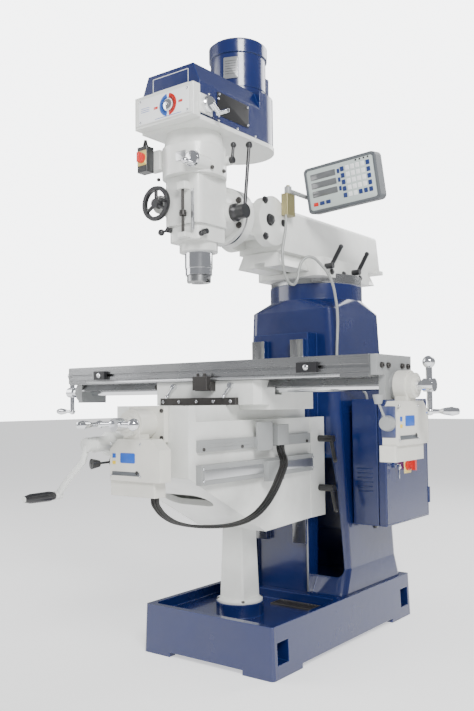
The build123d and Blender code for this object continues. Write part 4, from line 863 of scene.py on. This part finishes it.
@dataclass
class FeedTrim(Trim):
    """Control panel, hub and outward marks of a power feed."""

    label: str = "x_feed"
    control: Face = Face.FRONT
    outward: Face = Face.RIGHT

    def build(self) -> None:
        """Models the blue control panel and the outward face's marks."""
        bench = self.bench
        lever_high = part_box(self.label + "_lever")[1]
        if self.control is Face.FRONT:
            control = Spot.on(Face.FRONT, lever_high.x - 0.022, lever_high.y + 0.0003, 0.784)
            out = Spot.on(Face.RIGHT, 0.697, -0.3835 - 0.030, 0.784)
        else:
            control = Spot.on(Face.LEFT, lever_high.x + 0.0003, -0.789, 0.672)
            out = Spot.on(Face.FRONT, -0.018, -0.817, 0.680)
        plate = bench.plate(control, 0, 0.004, (0.044, 0.088, 0.0003), 0.004, 0.0001)
        self.fit(self.label + "_control_plate", [plate], "navy_panel")
        sheet = bench.plate(out, 0.008, 0.006, (0.060, 0.030, 0.0010), 0.004)
        mark = bench.plate(out, -0.048, 0.012, (0.014, 0.014, 0.0010), 0.002)
        self.fit(self.label + "_face_blue", [sheet, mark], "blue_print")
        self.fit(self.label + "_face_mark", [bench.plate(out, -0.048, -0.008, (0.014, 0.010, 0.0010), 0.002)],
                 "yellow_plate")
        band = bench.plate(out, 0, -0.040, (0.112, 0.012, 0.0008), 0.002)
        self.fit(self.label + "_face_band", [band], "panel_grey")
        hole = bench.turned(out, 0.046, -0.036, ((0.006, 0.0008), (0.006, 0.0016), (0.004, 0.0016)), 20)
        self.fit(self.label + "_face_hole", [hole], "tick_black")
        hub = bench.turned(control, 0, 0.004, ((0.015, 0.0003), (0.015, 0.0010)), 28)
        self.fit(self.label + "_control_hub", [hub], "white_print")
        screws = [bench.cap_screw(out, u, v, 0.004, 0.0025) for u in (-0.060, 0.060) for v in (-0.046, 0.048)]
        self.fit(self.label + "_face_screws", screws, "chrome")


@dataclass
class TableTrim(Trim):
    """Bracket bolts, dog bolts and the front scale of the table."""

    body: str = "table"

    def build(self) -> None:
        """Models the table's hardware."""
        bench = self.bench
        bolts = []
        for face, x in ((Face.RIGHT, 0.6425), (Face.LEFT, -0.6425)):
            spot = Spot.on(face, x, -0.3835, 0.948)
            bolts += [bench.cap_screw(spot, u, 0, 0.008, 0.008) for u in (-0.085, -0.045, 0.045, 0.085)]
        self.fit("bracket_bolts", bolts, "dark_steel")
        dogs = []
        dog_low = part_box("trip_dogs")[0]
        for x in (-0.450, 0.425):
            spot = Spot.on(Face.FRONT, x, dog_low.y, 0.947)
            dogs += bench.hex_bolt(spot, 0, 0, 0.0065)
        self.fit("dog_bolts", dogs, "chrome")
        table_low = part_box("table")[0]
        scale = Spot.on(Face.FRONT, 0, table_low.y, 0.9215)
        self.fit("table_rule", [bench.plate(scale, 0, 0, (1.06, 0.008, 0.0005), 0, 0.0001)], "aluminium_part")
        marks = [bench.plate(scale, -0.52 + 0.01 * i, 0.001, (0.0007, 0.006 if i % 5 == 0 else 0.0035, 0.0003),
                             0, 0.0001, lift=0.0005) for i in range(105)]
        self.fit("table_rule_marks", marks, "tick_black")


@dataclass
class SaddleTrim(Trim):
    """Wiper screws and gib screws of the saddle."""

    body: str = "saddle"

    def build(self) -> None:
        """Models the wiper screws and gib screws."""
        bench = self.bench
        low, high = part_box("saddle")
        front = Spot.on(Face.FRONT, 0, low.y - 0.016, 0.850)
        screws = [bench.cap_screw(front, u, 0, 0.0055, 0.004) for u in (-0.145, -0.075, 0.0, 0.070, 0.140)]
        self.fit("wiper_screws", screws, "chrome")
        gibs = []
        for x, face in ((low.x, Face.LEFT), (high.x, Face.RIGHT)):
            spot = Spot.on(face, x, -0.3835, 0.900)
            gibs.append(bench.cap_screw(spot, 0.062, 0, 0.009, 0.004))
        self.fit("gib_screws", gibs, "dark_steel")


@dataclass
class KneeTrim(Trim):
    """Scale cover and its screws, dog rail screws and flange screws of the knee."""

    body: str = "knee"

    def build(self) -> None:
        """Models the knee's hardware."""
        bench = self.bench
        right = Spot.on(Face.RIGHT, 0.169, -0.38, 0.6325)
        self.fit("scale_cover_ridge", [bench.plate(right, 0, 0, (0.60, 0.030, 0.002), 0.003, 0.0008)],
                 "aluminium_part")
        ends = [bench.cap_screw(right, u, v, 0.004, 0.0035) for u in (-0.304, 0.300) for v in (-0.018, 0.018)]
        self.fit("scale_end_screws", ends, "chrome")
        rail = Spot.on(Face.RIGHT, 0.159, -0.38, 0.7175)
        bolts = [bench.cap_screw(rail, u, -0.010, 0.005, 0.004) for u in (-0.29, -0.10, 0.09, 0.28)]
        self.fit("dog_rail_screws", bolts, "dark_steel")
        flange = Spot.on(Face.FRONT, -0.003, -0.745, 0.784)
        corners = [bench.cap_screw(flange, u, v, 0.006, 0.005) for u in (-0.064, 0.064) for v in (-0.040, 0.040)]
        self.fit("flange_screws", corners, "dark_steel")


@dataclass
class CrankTrim(Trim):
    """Black grip sleeve of the knee crank."""

    body: str = "knee_crank"

    def build(self) -> None:
        """Models the sleeve over the crank's grip."""
        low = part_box(self.body)[0]
        tip = Spot.on(Face.FRONT, low.x + 0.0152, low.y + 0.112, low.z + 0.0152)
        outline = ((0.0113, 0.001), (0.0154, 0.020), (0.0144, 0.090), (0.0094, 0.1118))
        self.fit("knee_crank_grip", [self.bench.turned(tip, 0, 0, outline, 32)], "black_plastic")


# ---- column, cabinet and base ----

@dataclass
class CabinetTrim(Trim):
    """Isolator plate, keys, swage, louvres and glands of the electrical cabinet."""

    body: str = "cabinet_door"

    def build(self) -> None:
        """Models the cabinet's outer details."""
        bench = self.bench
        face = Spot.on(Face.RIGHT, 0.365, 0.276, 0.606)
        self.fit("isolator_plate", [bench.plate(face, 0, 0, (0.062, 0.062, 0.0002), 0.004, 0.0001)], "yellow_plate")
        blade = bench.plate(Spot.on(Face.RIGHT, 0.371, 0.163, 0.612), 0, 0, (0.003, 0.010, 0.012), 0.001)
        bow = bench.turned(Spot.on(Face.FRONT, 0.385, 0.1622, 0.607), 0, 0,
                           ((0.009, -0.0008), (0.009, 0.0008), (0.008, 0.0012)), 24)
        spare = bench.plate(Spot.on(Face.FRONT, 0.385, 0.1622, 0.582), 0, 0, (0.006, 0.034, 0.0014), 0.001)
        self.fit("door_keys", [blade, bow, spare], "chrome")
        door = Spot.on(Face.RIGHT, 0.365, 0.28, 0.625)
        edge = [bench.plate(door, 0, side * 0.2215, (0.352, 0.003, 0.0010), 0, 0.0003) for side in (-1, 1)]
        edge += [bench.plate(door, side * 0.1745, 0, (0.003, 0.440, 0.0010), 0, 0.0003) for side in (-1, 1)]
        self.fit("door_swage", edge, "blue_paint")
        front = Spot.on(Face.FRONT, 0.281, 0.100, 0.52)
        vents = [bench.plate(front, 0, 0.016 * i, (0.060, 0.006, 0.002), 0.002, 0.0008) for i in range(6)]
        bench.fit("cabinet_louvres", vents, "machine", "blue_paint")
        below = [bench.turned(Spot(Vector((0.281, y, 0.398)), Vector((0, 0, -1)), Vector((1, 0, 0))), 0, 0,
                              ((0.013, -0.001), (0.013, 0.010), (0.010, 0.014), (0.007, 0.020)), 16)
                 for y in (0.17, 0.22, 0.27)]
        bench.fit("cabinet_glands", below, "machine", "black_plastic")


@dataclass
class BaseTrim(Trim):
    """Drain grate and pedestal bolts of the base."""

    def build(self) -> None:
        """Models the grate bars and the pedestal bolts."""
        bench = self.bench
        tray = Spot.on(Face.TOP, 0.115, -0.105, 0.128)
        frame_bars = [bench.plate(tray, 0, side * 0.030, (0.190, 0.006, 0.006), 0.001, 0.0006) for side in (-1, 1)]
        frame_bars += [bench.plate(tray, side * 0.092, 0, (0.006, 0.056, 0.006), 0.001, 0.0006) for side in (-1, 1)]
        frame_bars += [bench.plate(tray, -0.080 + 0.0133 * i, 0, (0.005, 0.054, 0.005), 0.001, 0.0006)
                       for i in range(13)]
        self.fit("drain_grate", frame_bars, "dark_steel")
        collar = Spot.on(Face.TOP, 0, -0.290, 0.179)
        bolts: list[bpy.types.Object] = []
        for index in range(4):
            angle = math.radians(45 + 90 * index)
            bolts += bench.hex_bolt(collar, 0.0715 * math.cos(angle), 0.0715 * math.sin(angle), 0.0055)
        self.fit("pedestal_bolts", bolts, "dark_steel")


@dataclass
class ColumnTrim(Trim):
    """Back cover screws, louvres and way faces of the column."""

    def build(self) -> None:
        """Models the column's hardware."""
        bench = self.bench
        back = Spot.on(Face.BACK, 0, 0.444, 0.515)
        screws = [bench.cap_screw(back, u, v, 0.006, 0.004) for u in (-0.100, 0.100) for v in (-0.18, 0.0, 0.18)]
        self.fit("back_cover_screws", screws, "chrome")
        louvres = [bench.plate(back, 0, -0.10 + 0.022 * i, (0.120, 0.008, 0.003), 0.003, 0.001) for i in range(10)]
        self.fit("back_cover_louvres", louvres, "blue_paint")
        for name, x in (("way_face_left", -0.0865), ("way_face_right", 0.0865)):
            strip = Spot.on(Face.FRONT, x, -0.045, 0.705)
            self.fit(name, [bench.plate(strip, 0, 0, (0.0564, 0.738, 0.0002), 0, 0.0001)], "ground_steel")
        foot = Spot.on(Face.FRONT, 0.0, -0.037, 0.315)
        self.fit("way_foot_mark", [bench.plate(foot, 0.116, 0, (0.007, 0.300, 0.0004), 0, 0.0001)], "grey_paint")


# ---- studio ----

@dataclass
class Studio:
    """Camera, lights, floor and backdrop light."""

    camera_at: tuple[float, float, float] = (1.678, -2.505, 0.851)
    yaw: float = math.radians(37.17)
    pitch: float = math.radians(3.25)
    roll: float = math.radians(-0.61)
    lens: float = 40.456

    def build(self) -> None:
        """Sets up the whole studio."""
        self._camera()
        self._floor()
        self._lights()

    def _camera(self) -> None:
        """Adds the camera and makes it the scene's own."""
        data = bpy.data.cameras.new("studio_camera")
        data.sensor_fit = "VERTICAL"
        data.sensor_height = 36.0
        data.lens = self.lens
        data.clip_end = 60.0
        camera = bpy.data.objects.new("studio_camera", data)
        bpy.context.scene.collection.objects.link(camera)
        turn = (Matrix.Rotation(self.yaw, 4, "Z") @ Matrix.Rotation(math.pi / 2 + self.pitch, 4, "X")
                @ Matrix.Rotation(self.roll, 4, "Z"))
        camera.matrix_world = Matrix.Translation(self.camera_at) @ turn
        bpy.context.scene.camera = camera

    @staticmethod
    def _floor() -> None:
        """Adds a wide pale floor."""
        Bench._clear()
        bpy.ops.mesh.primitive_plane_add(size=60.0, location=(0, 0, -0.0005))
        floor = bpy.context.object
        floor.name = "studio_floor"
        material = bpy.data.materials.new("studio_floor")
        material.use_nodes = True
        nodes = Nodes(material.node_tree)
        shader = material.node_tree.nodes["Principled BSDF"]
        shader.inputs["Roughness"].default_value = 0.55
        shader.inputs["Emission Color"].default_value = (1.0, 1.0, 1.0, 1.0)
        shader.inputs["Emission Strength"].default_value = 0.8
        cloud = nodes.noise(nodes.add("ShaderNodeTexCoord").outputs["Object"], 1.4)
        mix = PaintShop._mix(nodes, cloud.outputs[0], (0.80, 0.80, 0.79), (0.84, 0.84, 0.83))
        nodes.join(mix, shader.inputs["Base Color"])
        floor.data.materials.append(material)

    @staticmethod
    def _light(name: str, place: tuple[float, float, float], size: float, power: float) -> None:
        """Adds a square soft light that looks at the machine's middle."""
        data = bpy.data.lights.new(name, "AREA")
        data.energy = power
        data.size = size
        light = bpy.data.objects.new(name, data)
        bpy.context.scene.collection.objects.link(light)
        aim = (Vector((0, 0, 1.0)) - Vector(place)).to_track_quat("-Z", "Y")
        light.matrix_world = Matrix.Translation(place) @ aim.to_matrix().to_4x4()

    def _lights(self) -> None:
        """Adds a pale sky and three soft boxes."""
        world = bpy.data.worlds.new("studio_sky")
        world.use_nodes = True
        nodes = Nodes(world.node_tree)
        lit = world.node_tree.nodes["Background"]
        lit.inputs["Color"].default_value = (0.93, 0.95, 1.0, 1.0)
        lit.inputs["Strength"].default_value = 0.38
        seen = nodes.add("ShaderNodeBackground")
        seen.inputs["Color"].default_value = (0.95, 0.96, 0.97, 1.0)
        seen.inputs["Strength"].default_value = 6.0
        mix = nodes.add("ShaderNodeMixShader")
        nodes.join(nodes.add("ShaderNodeLightPath").outputs["Is Camera Ray"], mix.inputs[0])
        nodes.join(lit.outputs[0], mix.inputs[1])
        nodes.join(seen.outputs[0], mix.inputs[2])
        nodes.join(mix.outputs[0], world.node_tree.nodes["World Output"].inputs["Surface"])
        bpy.context.scene.world = world
        self._light("key_box", (3.4, -3.2, 3.6), 1.6, 330.0)
        self._light("fill_box", (-3.6, -2.2, 2.4), 2.6, 90.0)
        self._light("rim_box", (0.8, 3.6, 3.2), 2.4, 120.0)


def dress_frame(paint: PaintShop) -> None:
    """Gives every CAD node the finish that its material slot names."""
    for row in frame["record"]["subparts"]:
        node = frame["nodes"][row["node"]]
        node.data.materials.clear()
        node.data.materials.append(paint.material(row["material_slot"]))


def main() -> None:
    """Builds the studio, the finishes and every sub-assembly's trim, in order."""
    logging.basicConfig(level=logging.INFO, format="%(name)s: %(message)s")
    Studio().build()
    paint = PaintShop()
    dress_frame(paint)
    bench = Bench(paint)
    assemblies: list[Trim] = [
        DialBoxTrim(bench), HeadTrim(bench), RamTrim(bench), TurretTrim(bench), ReadoutTrim(bench),
        FeedTrim(bench, "table"),
        FeedTrim(bench, "knee", "y_feed", Face.LEFT, Face.FRONT),
        TableTrim(bench), SaddleTrim(bench), KneeTrim(bench), CrankTrim(bench), CabinetTrim(bench), BaseTrim(bench),
        ColumnTrim(bench),
    ]
    for assembly in assemblies:
        assembly.build()
    LOG.info("%d pieces of trim", bench.made)


if __name__ == "__main__":
    main()
